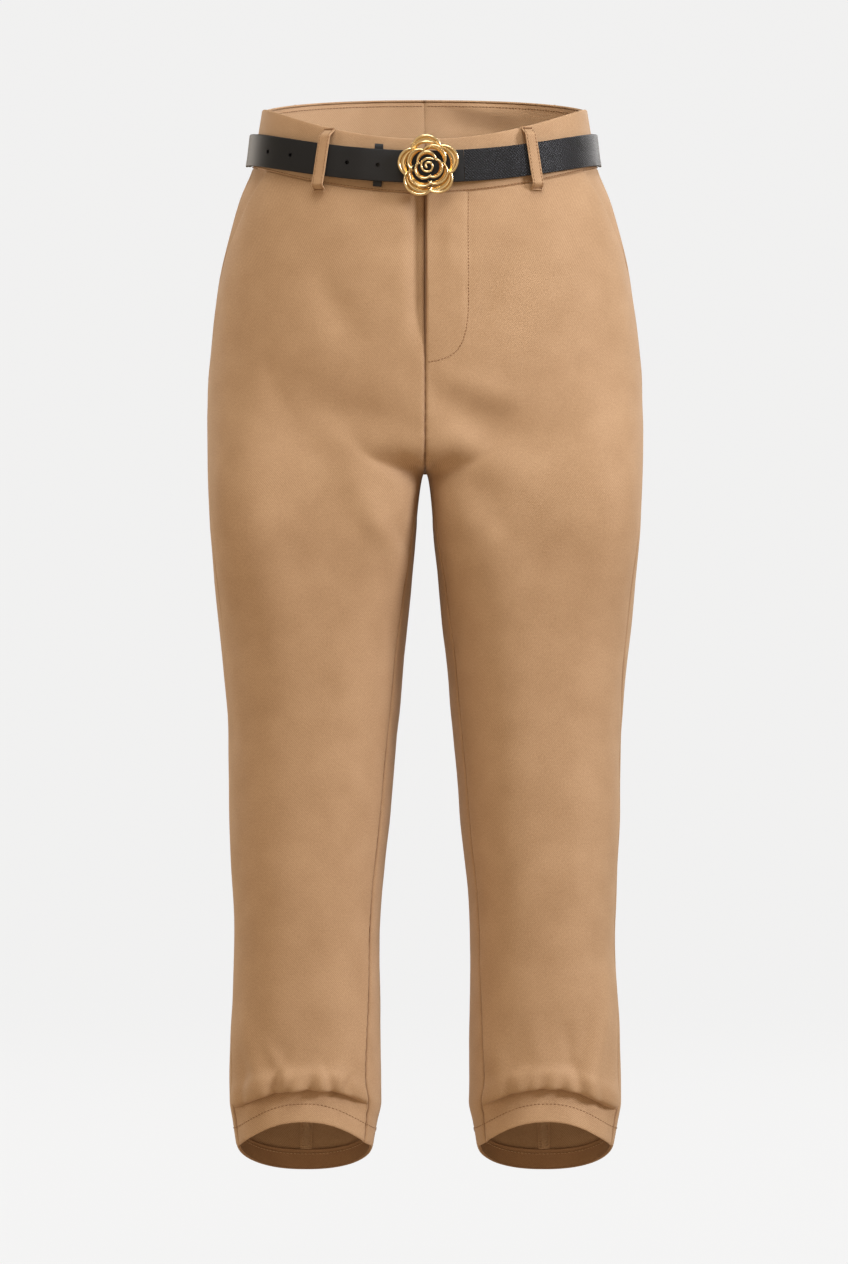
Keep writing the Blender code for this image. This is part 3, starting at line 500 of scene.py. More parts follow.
@dataclass
class Shell:
    """A closed wall between two grids of points, with the cloth's own measure as its map."""

    name: str
    outer: Array
    inner: Array
    slot: Slot
    ring: bool = False

    def measure(self) -> Array:
        """The map: lengths along each row from its middle, and along the middle column."""
        middle = self.outer.shape[1] // 2
        u = run_length(self.outer, axis=1)
        v = run_length(self.outer[:, middle])
        return np.stack([u - u[:, middle : middle + 1], v[:, None] + 0 * u], axis=-1)

    def edge_nearness(self) -> Array:
        """1 on the two side edges and 0 a few millimetres away: a bell 1.3 mm wide, the mask of the shade painted along
        the seams.
        """
        u = run_length(self.outer, axis=1)
        away = np.minimum(u, u[:, -1:] - u)
        return np.zeros_like(u) if self.ring else bell(away / 0.0013, 1.6)

    def build(self) -> bpy.types.Object:
        """Makes the mesh object: outer faces, inner faces turned round, and a rim between them."""
        rows, columns = self.outer.shape[:2]
        index = np.arange(rows * columns).reshape(rows, columns)
        if self.ring:
            index = np.concatenate([index, index[:, :1]], axis=1)
        a, b, c, d = index[:-1, :-1], index[1:, :-1], index[1:, 1:], index[:-1, 1:]
        face = np.stack([x.reshape(-1) for x in (a, b, c, d)], axis=1)
        edges = [index[0], index[-1][::-1]]
        if not self.ring:
            edges += [index[::-1, 0], index[:, -1]]
        count = rows * columns
        rims = [np.stack([e[:-1], e[1:], e[1:] + count, e[:-1] + count], axis=1) for e in edges]
        faces = np.concatenate([face, face[:, ::-1] + count, *rims])
        points = np.concatenate([self.outer.reshape(-1, 3), self.inner.reshape(-1, 3)])
        made = new_object(self.name, points, faces)
        measure, near = self.measure().reshape(-1, 2), self.edge_nearness().reshape(-1)
        put_map(made, np.concatenate([measure, measure]), np.concatenate([near, near]))
        return made


def new_object(name: str, points: Array, faces: Array | list) -> bpy.types.Object:
    """A smooth mesh object at the origin, its faces pointing out.

    Args:
        name: The object's name.
        points: Places, in metres.
        faces: Corners of each face.

    Returns:
        The object.
    """
    mesh = bpy.data.meshes.new(name)
    mesh.from_pydata(np.asarray(points, float).tolist(), [], np.asarray(faces).tolist())
    work = bmesh.new()
    work.from_mesh(mesh)
    bmesh.ops.recalc_face_normals(work, faces=work.faces)
    work.to_mesh(mesh)
    work.free()
    mesh.shade_smooth()
    mesh.set_sharp_from_angle(angle=math.radians(55))
    made = bpy.data.objects.new(name, mesh)
    bpy.context.scene.collection.objects.link(made)
    return made


def put_map(made: bpy.types.Object, measure: Array, near: Array) -> None:
    """Writes the cloth's measure as a UV map and the nearness to a seam as an attribute, the mask of the shade painted
    along the seams.

    Args:
        made: The object.
        measure: Two lengths for each point.
        near: One number for each point, the mask of the painted seam shade.
    """
    mesh = made.data
    corner = np.empty(len(mesh.loops), np.int32)
    mesh.loops.foreach_get("vertex_index", corner)
    layer = mesh.uv_layers.new(name="measure")
    layer.data.foreach_set("uv", measure[corner].astype(np.float32).reshape(-1))
    seam = mesh.attributes.new("seam", "FLOAT", "POINT")
    seam.data.foreach_set("value", near.astype(np.float32))


def swept(name: str, path: Array, first: Array, second: Array, profile: Array, closed: bool = False) -> bpy.types.Object:
    """Carries a closed profile along a path: a point plus the profile's two numbers along two directions.

    Args:
        name: The object's name.
        path: Points of the path.
        first: The profile's first direction at each.
        second: Its second direction at each.
        profile: The closed profile, or one profile for each point of the path.
        closed: Whether the path joins its own start.

    Returns:
        The object, capped unless it is closed.
    """
    if profile.ndim == 2:
        profile = np.broadcast_to(profile, (len(path), *profile.shape))
    points = path[:, None] + first[:, None] * profile[..., :1] + second[:, None] * profile[..., 1:]
    rows, sides = points.shape[:2]
    index = np.arange(rows * sides).reshape(rows, sides)
    index = np.concatenate([index, index[:, :1]], axis=1)
    if closed:
        index = np.concatenate([index, index[:1]], axis=0)
    a, b, c, d = index[:-1, :-1], index[1:, :-1], index[1:, 1:], index[:-1, 1:]
    faces = np.stack([x.reshape(-1) for x in (a, b, c, d)], axis=1).tolist()
    if not closed:
        faces += [index[0, :-1].tolist(), index[-1, :-1][::-1].tolist()]
    mesh = bpy.data.meshes.new(name)
    mesh.from_pydata(points.reshape(-1, 3).tolist(), [], faces)
    made = new_from_mesh(name, mesh)
    across = run_length(points, axis=1)
    along = run_length(points.mean(1))[:, None] + 0 * across
    put_map(made, np.stack([along, across], axis=-1).reshape(-1, 2), np.zeros(rows * sides))
    return made


def new_from_mesh(name: str, mesh: bpy.types.Mesh) -> bpy.types.Object:
    """An object from a mesh, smooth, its faces pointing out."""
    work = bmesh.new()
    work.from_mesh(mesh)
    bmesh.ops.recalc_face_normals(work, faces=work.faces)
    work.to_mesh(mesh)
    work.free()
    mesh.shade_smooth()
    mesh.set_sharp_from_angle(angle=math.radians(50))
    made = bpy.data.objects.new(name, mesh)
    bpy.context.scene.collection.objects.link(made)
    return made


def rounded_bar(width: float, depth: float, radius: float, steps: int = 4) -> Array:
    """A rounded rectangle: four quarter circles at its corners. It spans the width evenly about 0 and the depth
    from 0 up."""
    quarter = np.linspace(0, np.pi / 2, steps)
    corners = []
    for turn, (cx, cy) in enumerate(((1, 1), (-1, 1), (-1, -1), (1, -1))):
        angle = quarter + turn * np.pi / 2
        x = cx * (width / 2 - radius) + radius * np.cos(angle)
        y = depth / 2 + cy * (depth / 2 - radius) + radius * np.sin(angle)
        corners.append(np.stack([x, y], axis=-1))
    return np.concatenate(corners)


def dressed(piece: bpy.types.Object, material: bpy.types.Material, slot: Slot, *nodes: str) -> bpy.types.Object:
    """Gives a piece its material and its body, and hides the nodes that it stands for.

    Args:
        piece: The object.
        material: Its material.
        slot: Not used.
        nodes: CAD nodes that it replaces.

    Returns:
        The piece.
    """
    piece.data.materials.clear()
    piece.data.materials.append(material)
    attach(piece, CAD_BODY)
    if nodes:
        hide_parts(*nodes)
    LOG.info("%s: %d faces, stands for %s", piece.name, len(piece.data.polygons), ", ".join(nodes) or "no node")
    return piece


# ---------------------------------------------------------------- finishes


def linear(code: str) -> tuple[float, float, float, float]:
    """An sRGB hex colour as linear numbers with alpha 1."""
    shares = np.array([int(code[k : k + 2], 16) for k in (1, 3, 5)]) / 255
    lit = np.where(shares <= 0.04045, shares / 12.92, ((shares + 0.055) / 1.055) ** 2.4)
    return (*(float(x) for x in lit), 1.0)


def add_node(tree: bpy.types.NodeTree, kind: str, links: dict | None = None, **settings: object) -> bpy.types.Node:
    """Adds a node with its settings, and sets or links its inputs.

    Args:
        tree: The node tree.
        kind: The node's type.
        links: Input name or number to a value or to the socket that feeds it.
        settings: The node's own settings.

    Returns:
        The node.
    """
    node = tree.nodes.new(kind)
    for name, value in settings.items():
        setattr(node, name, value)
    for name, value in (links or {}).items():
        if isinstance(value, bpy.types.NodeSocket):
            tree.links.new(value, node.inputs[name])
        else:
            node.inputs[name].default_value = value
    return node


def blank(name: str) -> tuple[bpy.types.Material, bpy.types.NodeTree, bpy.types.Node]:
    """A new material with only its Principled shader."""
    material = bpy.data.materials.new(name)
    material.use_nodes = True
    tree = material.node_tree
    return material, tree, tree.nodes["Principled BSDF"]


@dataclass(frozen=True)
class Twill:
    """Cotton twill, woven and piece-dyed: matt, with fine diagonal ribs and a soft bloom of fibre ends."""

    name: str
    light: str
    dark: str
    # seam: a darker colour painted along seam edges, painted shade of the seam's groove
    seam: str
    rib: float = 0.0019  # the real rib is near 0.7 mm, drawn coarser so that it shows
    depth: float = 0.00016
    # how strongly the painted seam shade darkens the cloth at a seam edge
    seam_shade_share: float = 0.70

    def make(self) -> bpy.types.Material:
        """Ribs from a diagonal wave on the cloth's own measure, threads and dye clouds from noise, and painted shade:
        the cloth darkens to its seam colour along the seams.
        """
        material, tree, shader = blank(self.name)
        measure = add_node(tree, "ShaderNodeUVMap", uv_map="measure").outputs["UV"]
        ribs = add_node(
            tree,
            "ShaderNodeTexWave",
            {"Vector": measure, "Scale": 0.628 / self.rib, "Distortion": 1.6, "Detail": 2.0, "Detail Scale": 1.6},
            bands_direction="DIAGONAL",
        ).outputs["Fac"]
        threads = add_node(
            tree, "ShaderNodeTexNoise", {"Vector": measure, "Scale": 620.0, "Detail": 3.0, "Roughness": 0.65}
        ).outputs["Fac"]
        clouds = add_node(
            tree, "ShaderNodeTexNoise", {"Vector": measure, "Scale": 26.0, "Detail": 4.0, "Roughness": 0.55}
        ).outputs["Fac"]
        weave = add_node(tree, "ShaderNodeMath", {0: ribs, 1: 0.35}, operation="MULTIPLY").outputs[0]
        weave = add_node(tree, "ShaderNodeMath", {0: threads, 1: 0.75, 2: weave}, operation="MULTIPLY_ADD").outputs[0]
        tone = add_node(tree, "ShaderNodeMath", {0: clouds, 1: 0.55, 2: weave}, operation="MULTIPLY_ADD").outputs[0]
        tone = add_node(
            tree, "ShaderNodeMapRange", {"Value": tone, "From Min": 0.45, "From Max": 1.15}, clamp=True
        ).outputs[0]
        cloth = add_node(
            tree,
            "ShaderNodeMix",
            {"Factor": tone, 6: linear(self.dark), 7: linear(self.light)},
            data_type="RGBA",
        ).outputs[2]
        # painted shade: near a seam edge the cloth mixes toward the darker seam colour
        near = add_node(tree, "ShaderNodeAttribute", attribute_name="seam").outputs["Fac"]
        near = add_node(tree, "ShaderNodeMath", {0: near, 1: self.seam_shade_share}, operation="MULTIPLY").outputs[0]
        cloth = add_node(
            tree, "ShaderNodeMix", {"Factor": near, 6: cloth, 7: linear(self.seam)}, data_type="RGBA"
        ).outputs[2]
        tree.links.new(cloth, shader.inputs["Base Color"])
        bump = add_node(tree, "ShaderNodeBump", {"Height": weave, "Distance": self.depth, "Strength": 0.9})
        tree.links.new(bump.outputs[0], shader.inputs["Normal"])
        shader.inputs["Roughness"].default_value = 0.72
        shader.inputs["Specular IOR Level"].default_value = 0.32
        shader.inputs["Sheen Weight"].default_value = 0.16
        shader.inputs["Sheen Roughness"].default_value = 0.5
        shader.inputs["Sheen Tint"].default_value = linear("#f2e6d8")
        return material


@dataclass(frozen=True)
class Leather:
    """Belt leather, dyed through: embossed with a fine cross-hatched grain, or left smooth and satin. Its raised grain
    takes a lighter colour, partly the grain's own tone and partly painted sheen.
    """

    name: str
    colour: str
    # the lighter colour of the raised grain: partly its own tone, partly painted sheen
    grain_tone_and_sheen: str
    grain: float
    depth: float
    roughness: float

    def make(self) -> bpy.types.Material:
        """Grain from two crossed waves, pores from fine noise."""
        material, tree, shader = blank(self.name)
        measure = add_node(tree, "ShaderNodeUVMap", uv_map="measure").outputs["UV"]
        turned = add_node(tree, "ShaderNodeMapping", {"Vector": measure, "Scale": (1.0, -1.0, 1.0)}).outputs[0]
        wave = {"Scale": 0.628 / self.grain, "Distortion": 2.2, "Detail": 1.0}
        one = add_node(tree, "ShaderNodeTexWave", {"Vector": measure, **wave}, bands_direction="DIAGONAL").outputs["Fac"]
        two = add_node(tree, "ShaderNodeTexWave", {"Vector": turned, **wave}, bands_direction="DIAGONAL").outputs["Fac"]
        hatch = add_node(tree, "ShaderNodeMath", {0: one, 1: two}, operation="MULTIPLY").outputs[0]
        pores = add_node(
            tree, "ShaderNodeTexNoise", {"Vector": measure, "Scale": 900.0, "Detail": 2.0}
        ).outputs["Fac"]
        height = add_node(tree, "ShaderNodeMath", {0: pores, 1: 0.35, 2: hatch}, operation="MULTIPLY_ADD").outputs[0]
        # the raised hatch mixes toward the lighter colour: partly grain tone, partly painted sheen
        tone = add_node(
            tree,
            "ShaderNodeMix",
            {"Factor": hatch, 6: linear(self.colour), 7: linear(self.grain_tone_and_sheen)},
            data_type="RGBA",
        ).outputs[2]
        tree.links.new(tone, shader.inputs["Base Color"])
        bump = add_node(tree, "ShaderNodeBump", {"Height": height, "Distance": self.depth, "Strength": 1.0})
        tree.links.new(bump.outputs[0], shader.inputs["Normal"])
        shader.inputs["Roughness"].default_value = self.roughness
        shader.inputs["Specular IOR Level"].default_value = 0.34
        return material


@dataclass(frozen=True)
class Gilding:
    """Cast zinc with a polished yellow gold plate: a mirror that shows slight casting ripples."""

    name: str = "polished_gold_plate"
    colour: str = "#f8deaa"

    def make(self) -> bpy.types.Material:
        """Gloss that wanders a little with noise, and ripples a few millimetres long."""
        material, tree, shader = blank(self.name)
        place = add_node(tree, "ShaderNodeTexCoord").outputs["Object"]
        ripple = add_node(tree, "ShaderNodeTexNoise", {"Vector": place, "Scale": 60.0, "Detail": 1.0}).outputs["Fac"]
        gloss = add_node(
            tree, "ShaderNodeMapRange", {"Value": ripple, "To Min": 0.13, "To Max": 0.24}
        ).outputs[0]
        bump = add_node(tree, "ShaderNodeBump", {"Height": ripple, "Distance": 0.00006, "Strength": 0.3})
        tree.links.new(gloss, shader.inputs["Roughness"])
        tree.links.new(bump.outputs[0], shader.inputs["Normal"])
        shader.inputs["Base Color"].default_value = linear(self.colour)
        shader.inputs["Metallic"].default_value = 1.0
        return material


@dataclass(frozen=True)
class Thread:
    """Polyester sewing thread, twisted. Its default colours are darker than the cloth: painted shade of the groove that
    the stitches sink into.
    """

    name: str = "camel_sewing_thread"
    # painted shade: the default colours are darker than the cloth to stand for the shadow in the stitch groove
    colour: str = "#9c7550"
    shade: str = "#76522f"

    def make(self) -> bpy.types.Material:
        """A plain satin thread with a fine twist."""
        material, tree, shader = blank(self.name)
        place = add_node(tree, "ShaderNodeTexCoord").outputs["Object"]
        twist = add_node(tree, "ShaderNodeTexNoise", {"Vector": place, "Scale": 1500.0}).outputs["Fac"]
        tone = add_node(
            tree,
            "ShaderNodeMix",
            {"Factor": twist, 6: linear(self.shade), 7: linear(self.colour)},
            data_type="RGBA",
        ).outputs[2]
        tree.links.new(tone, shader.inputs["Base Color"])
        shader.inputs["Roughness"].default_value = 0.6
        return material


@dataclass
class Finishes:
    """All the finishes, made once."""

    twill: bpy.types.Material = field(init=False)
    pale: bpy.types.Material = field(init=False)
    inside: bpy.types.Material = field(init=False)
    grained: bpy.types.Material = field(init=False)
    smooth: bpy.types.Material = field(init=False)
    gold: bpy.types.Material = field(init=False)
    thread: bpy.types.Material = field(init=False)
    pale_thread: bpy.types.Material = field(init=False)

    def __post_init__(self) -> None:
        """Makes the materials."""
        # the third colour of each twill is the painted shade along its seams
        self.twill = Twill("camel_cotton_twill", "#c3a07c", "#9f7c58", "#745236").make()
        # painted light: a paler copy of the twill for the facing inside the back band, where the top lamp falls; the
        # seam allowances share it
        self.pale = Twill("camel_facing_twill_painted_light", "#d0ad88", "#b8926c", "#a98460", seam_shade_share=0.25).make()
        # painted shade: the reverse side is drawn darker than the outside cloth, for the shade inside the leg and
        # behind the fly
        self.inside = Twill("camel_cotton_twill_reverse", "#ae8863", "#8f6946", "#735033").make()
        self.grained = Leather("grained_black_leather", "#141519", "#303338", 0.0025, 0.00070, 0.36).make()
        self.smooth = Leather("smooth_black_leather", "#1b1c1e", "#1f2022", 0.0030, 0.00002, 0.46).make()
        self.gold = Gilding().make()
        # the default thread carries the painted groove shade; the pale thread is its own light colour
        self.thread = Thread().make()
        self.pale_thread = Thread("pale_sewing_thread", "#d9b994", "#b18c66").make()


# ---------------------------------------------------------------- stitches


@dataclass
class Stitching:
    """Every visible stitch, gathered and joined into one piece."""

    name: str
    material: bpy.types.Material
    thick: float = 0.00036
    points: list[Array] = field(default_factory=list)

    def run(self, path: Array, out: Array, pitch: float = 0.0031, length: float = 0.0023) -> None:
        """Lays stitches along a line: equal lengths along it, each a short spindle.

        Args:
            path: Points of the line.
            out: Directions out from the cloth.
            pitch: From one stitch to the next.
            length: Length of a stitch.
        """
        reach = run_length(path)
        count = int(reach[-1] / pitch)
        if count < 1:
            return
        middle = (np.arange(count) + 0.5) * reach[-1] / count
        along = [np.stack([np.interp(middle + s * length / 2, reach, path[:, k]) for k in range(3)], 1) for s in (-1, 1)]
        up = unit(np.stack([np.interp(middle, reach, out[:, k]) for k in range(3)], 1))
        centre, forward = (along[0] + along[1]) / 2, (along[1] - along[0]) / 2
        aside = unit(np.cross(forward, up))
        s = np.array([-1.0, -0.72, 0.0, 0.72, 1.0])
        girth = np.array([0.35, 0.85, 1.0, 0.85, 0.35]) * self.thick
        lift = np.array([-0.25, 0.35, 0.6, 0.35, -0.25]) * self.thick
        angle = np.arange(6) * np.pi / 3
        ring = girth[:, None] * np.cos(angle), girth[:, None] * np.sin(angle) + lift[:, None]
        made = centre[:, None, None] + forward[:, None, None] * s[None, :, None, None]
        made = made + aside[:, None, None] * ring[0][None, ..., None] + up[:, None, None] * ring[1][None, ..., None]
        self.points.append(made.reshape(count, -1, 3))

    def build(self) -> bpy.types.Object:
        """Joins all the stitches into one object."""
        all_points = np.concatenate(self.points)
        one = np.arange(30).reshape(5, 6)
        one = np.concatenate([one, one[:, :1]], axis=1)
        quads = np.stack([x.reshape(-1) for x in (one[:-1, :-1], one[1:, :-1], one[1:, 1:], one[:-1, 1:])], 1)
        caps = np.array([[0, 1, 2, 3], [0, 3, 4, 5], [27, 26, 25, 24], [29, 28, 27, 24]])
        faces = np.concatenate([quads, caps])
        faces = (faces[None] + 30 * np.arange(len(all_points))[:, None, None]).reshape(-1, 4)
        made = new_object(self.name, all_points.reshape(-1, 3), faces)
        LOG.info("%s: %d stitches", self.name, len(all_points))
        return dressed(made, self.material, Slot.TWILL)


# ---------------------------------------------------------------- legs and seat


@dataclass
class LegPieces:
    """The cloth of one half: front, two back pieces, pocket facing, hem and seam allowances."""

    side: Side
    skin: Skin
    drape: Drape
    finishes: Finishes
    stitching: Stitching
    pale_stitching: Stitching
    cloth: float = 0.0012
    gap: float = 0.0003
    facing: float = 0.0010
    hem_depth: float = 0.0165

    def rows(self, fine: bool) -> Array:
        """Heights of the grid's rows, closest at the waist seam, the crotch and the hem crease."""
        share = 1.0 if fine else 0.5
        skin = self.skin
        spans = (
            (skin.waist_seam + 0.0030, skin.waist_seam + 0.0004, 5),
            (skin.waist_seam + 0.0004, -0.016, 16),
            (-0.016, -0.215, 64),
            (-0.215, skin.crotch, 44),
            (skin.crotch, -0.300, 18),
            (-0.300, -0.730, 90),
            (-0.730, -0.800, 34),
            (-0.800, skin.hem + 0.002, 64),
            (skin.hem + 0.002, skin.hem, 5),
        )
        parts = [np.linspace(a, b, max(4, int(n * share)), endpoint=False) for a, b, n in spans]
        return np.concatenate([*parts, [skin.hem]])

    def panel(self, name: str, start: Array, stop: Array, rows: Array, columns: int) -> None:
        """One cloth piece between two lines around the skin, its edges rolled in where the seams pull.

        Args:
            name: The piece's name, which is its node's too.
            start: Where it starts, around, on each row.
            stop: Where it ends.
            rows: Heights.
            columns: Points on a row.
        """
        level = rows[:, None] + np.zeros(columns)
        around = start[:, None] + packed(columns)[None, :] * (stop - start)[:, None]
        points, outward = self.drape.cloth(self.side, around, level)
        near = bell((level - self.skin.crotch) / 0.034, 4) * ease(np.minimum(around, 2 - around) / 0.07)
        for _ in range(60):
            bend = points[:-2] + points[2:] - 2 * points[1:-1]
            points[1:-1] += 0.25 * near[1:-1, :, None] * bend
        across = run_length(points, axis=1)
        away = np.minimum(across, across[:, -1:] - across)
        pucker = 1 + 0.25 * np.sin(level * 2 * np.pi / 0.011)
        roll = self.drape.seam_roll * bell(away / 0.0013, 1.5) * pucker
        down = run_length(points, axis=0)
        under = ease((level - self.skin.waist_seam + 0.0008) / 0.0012)
        roll = roll + under * (self.cloth + self.gap - 0.0001) + 0.0005 * bell((down[-1:] - down) / 0.0008, 1.5)
        if name == "front" and self.side is L:
            roll = roll + 0.0080 * self.drape.fly_open(level) * bell(across / 0.0011, 2.5)
        points = points - outward * roll[..., None]
        thin = self.cloth * (1 - 0.35 * bell(away / 0.0012, 1.5)) * (1 - 0.4 * under)
        inner = points - outward * thin[..., None]
        meets = rows >= self.skin.crotch
        for grid in (points, inner):
            grid[..., 0] = self.side.value * np.maximum(self.side.value * grid[..., 0], 0.00001)
            if name != "back_outer":
                grid[meets, 0 if name == "front" else -1, 0] = self.side.value * 0.00001
        piece = Shell(f"{name}_{self.side.word}_cloth", points, inner, Slot.TWILL)
        made = dressed(piece.build(), self.finishes.twill, Slot.TWILL, f"{name}_{self.side.word}")
        declare(made, piece)

    def build(self) -> None:
        """Builds and dresses every piece of the half."""
        rows = self.rows(True)
        self.panel("front", 0 * rows, self.skin.mouth(rows), rows, 92)
        back = self.rows(False)
        middle = self.skin.leg_middle(back)
        self.panel("back_outer", 1 + 0 * back, middle, back, 44)
        self.panel("back_inner", middle, 2 + 0 * back, back, 44)
        self.pocket_facing()
        self.hem_turn()
        self.allowance()

    def pocket_facing(self) -> None:
        """The cloth seen in the slanted pocket mouth: under the front, then rising flush with the back piece."""
        rows = np.linspace(self.skin.waist_seam, self.skin.pocket_end + 0.004, 60)
        start = self.skin.mouth(rows) - 0.05
        share = packed(24)
        level = rows[:, None] + 0 * share
        around = start[:, None] + share[None, :] * (0.9995 - start)[:, None]
        edge = self.skin.mouth(level)
        rise = ease((around - edge - 0.008) / np.maximum(0.9995 - edge, 0.004) * 1.1)
        sink = (self.cloth + self.gap + 0.0004) * (1 - rise) + 0.0008 * bell((1 - around) / 0.008)
        points, outward = self.drape.cloth(self.side, around, level)
        outer = points - outward * sink[..., None]
        piece = Shell(f"pocket_facing_{self.side.word}_cloth", outer, outer - outward * self.facing, Slot.TWILL)
        name = f"pocket_facing_{self.side.word}"
        made = dressed(piece.build(), self.finishes.twill, Slot.TWILL, name)
        declare(made, piece)

    def ring_around(self, level: Array, count: int) -> Array:
        """Places all the way round a leg."""
        return np.linspace(0.0, 2.0, count, endpoint=False)[None, :] + 0 * level

    def hem_turn(self) -> None:
        """The hem's turned-up band inside the leg, and the blind line of stitches that holds it."""
        skin, word = self.skin, self.side.word
        level = np.linspace(skin.hem + 0.0004, skin.hem + self.hem_depth, 26)[:, None]
        around = self.ring_around(level, 200)
        points, outward = self.drape.cloth(self.side, around, level + 0 * around)
        outer = points - outward * (self.cloth + self.gap + 0.0002)
        edge = bell((level - level[-1]) / 0.0012)[..., None] * 0.0005 + bell((level - level[0]) / 0.0008)[..., None] * 0.0003
        outer = outer + outward * edge * 0.0
        piece = Shell(f"hem_{word}_cloth", outer, outer - outward * (self.facing + edge), Slot.INSIDE, ring=True)
        made = dressed(piece.build(), self.finishes.inside, Slot.INSIDE, f"hem_{word}")
        declare(made, piece)
        line = np.linspace(0.0, 2.0, 400)
        for height, lift in ((skin.hem + self.hem_depth - 0.0012, 0.0), (skin.hem + self.hem_depth - 0.0035, 1.0)):
            path, out = self.drape.cloth(self.side, line, height + 0 * line)
            if lift:
                self.pale_stitching.run(path - out * (self.cloth + self.gap + self.facing + 0.0004), -out, 0.0032, 0.0023)
            else:
                self.stitching.run(path + out * 0.00002, out, 0.0034, 0.0021)

    def allowance(self) -> None:
        """The overlocked seam allowance up the middle of the back, with its zigzag of thread."""
        skin, word = self.skin, self.side.word
        rows = np.linspace(skin.hem + self.hem_depth + 0.0006, -0.10, 260)
        level = rows[:, None] + np.zeros(9)
        middle = skin.leg_middle(rows)
        half = 0.0032 / 0.22
        around = middle[:, None] + np.linspace(-half, half, 9)[None, :]
        points, outward = self.drape.cloth(self.side, around, level)
        ripple = 0.0002 * np.sin(level * 2 * np.pi / 0.006)
        deep = 0.0018 * bell((level - skin.crotch) / 0.070, 4)
        outer = points - outward * (self.cloth + self.gap + 0.0004 + ripple + deep)[..., None]
        piece = Shell(f"back_allowance_{word}_cloth", outer, outer - outward * 0.0008, Slot.INSIDE)
        made = dressed(piece.build(), self.finishes.pale, Slot.INSIDE, f"back_allowance_{word}")
        declare(made, piece)
        zig = np.where(np.arange(520) % 2 == 0, -0.9, 0.9) * half
        line = np.linspace(rows[0], -0.55, 520)
        path, out = self.drape.cloth(self.side, skin.leg_middle(line) + zig, line)
        self.pale_stitching.run(path - out * (self.cloth + self.gap + 0.0016), -out, 0.0034, 0.0040)


def declare(made: bpy.types.Object, piece: Shell) -> None:
    """States a cloth piece's flat cut: its widest row, its middle column and the area of its outer face.

    Args:
        made: The object.
        piece: Its grids.
    """
    measure = piece.measure()
    width = float((measure[:, -1, 0] - measure[:, 0, 0]).max())
    if piece.ring:
        width += float(np.linalg.norm(piece.outer[:, 0] - piece.outer[:, -1], axis=-1).max())
    length = float(run_length(piece.outer, axis=0)[-1].max())
    one = piece.outer
    if piece.ring:
        one = np.concatenate([one, one[:, :1]], axis=1)
    diagonals = np.cross(one[1:, 1:] - one[:-1, :-1], one[1:, :-1] - one[:-1, 1:])
    area = float(np.linalg.norm(diagonals, axis=-1).sum() / 2)
    area = min(area, width * length)
    LOG.info("%s: flat %.3f by %.3f m, %.4f square metres", made.name, width, length, area)


# ---------------------------------------------------------------- waistband and fly


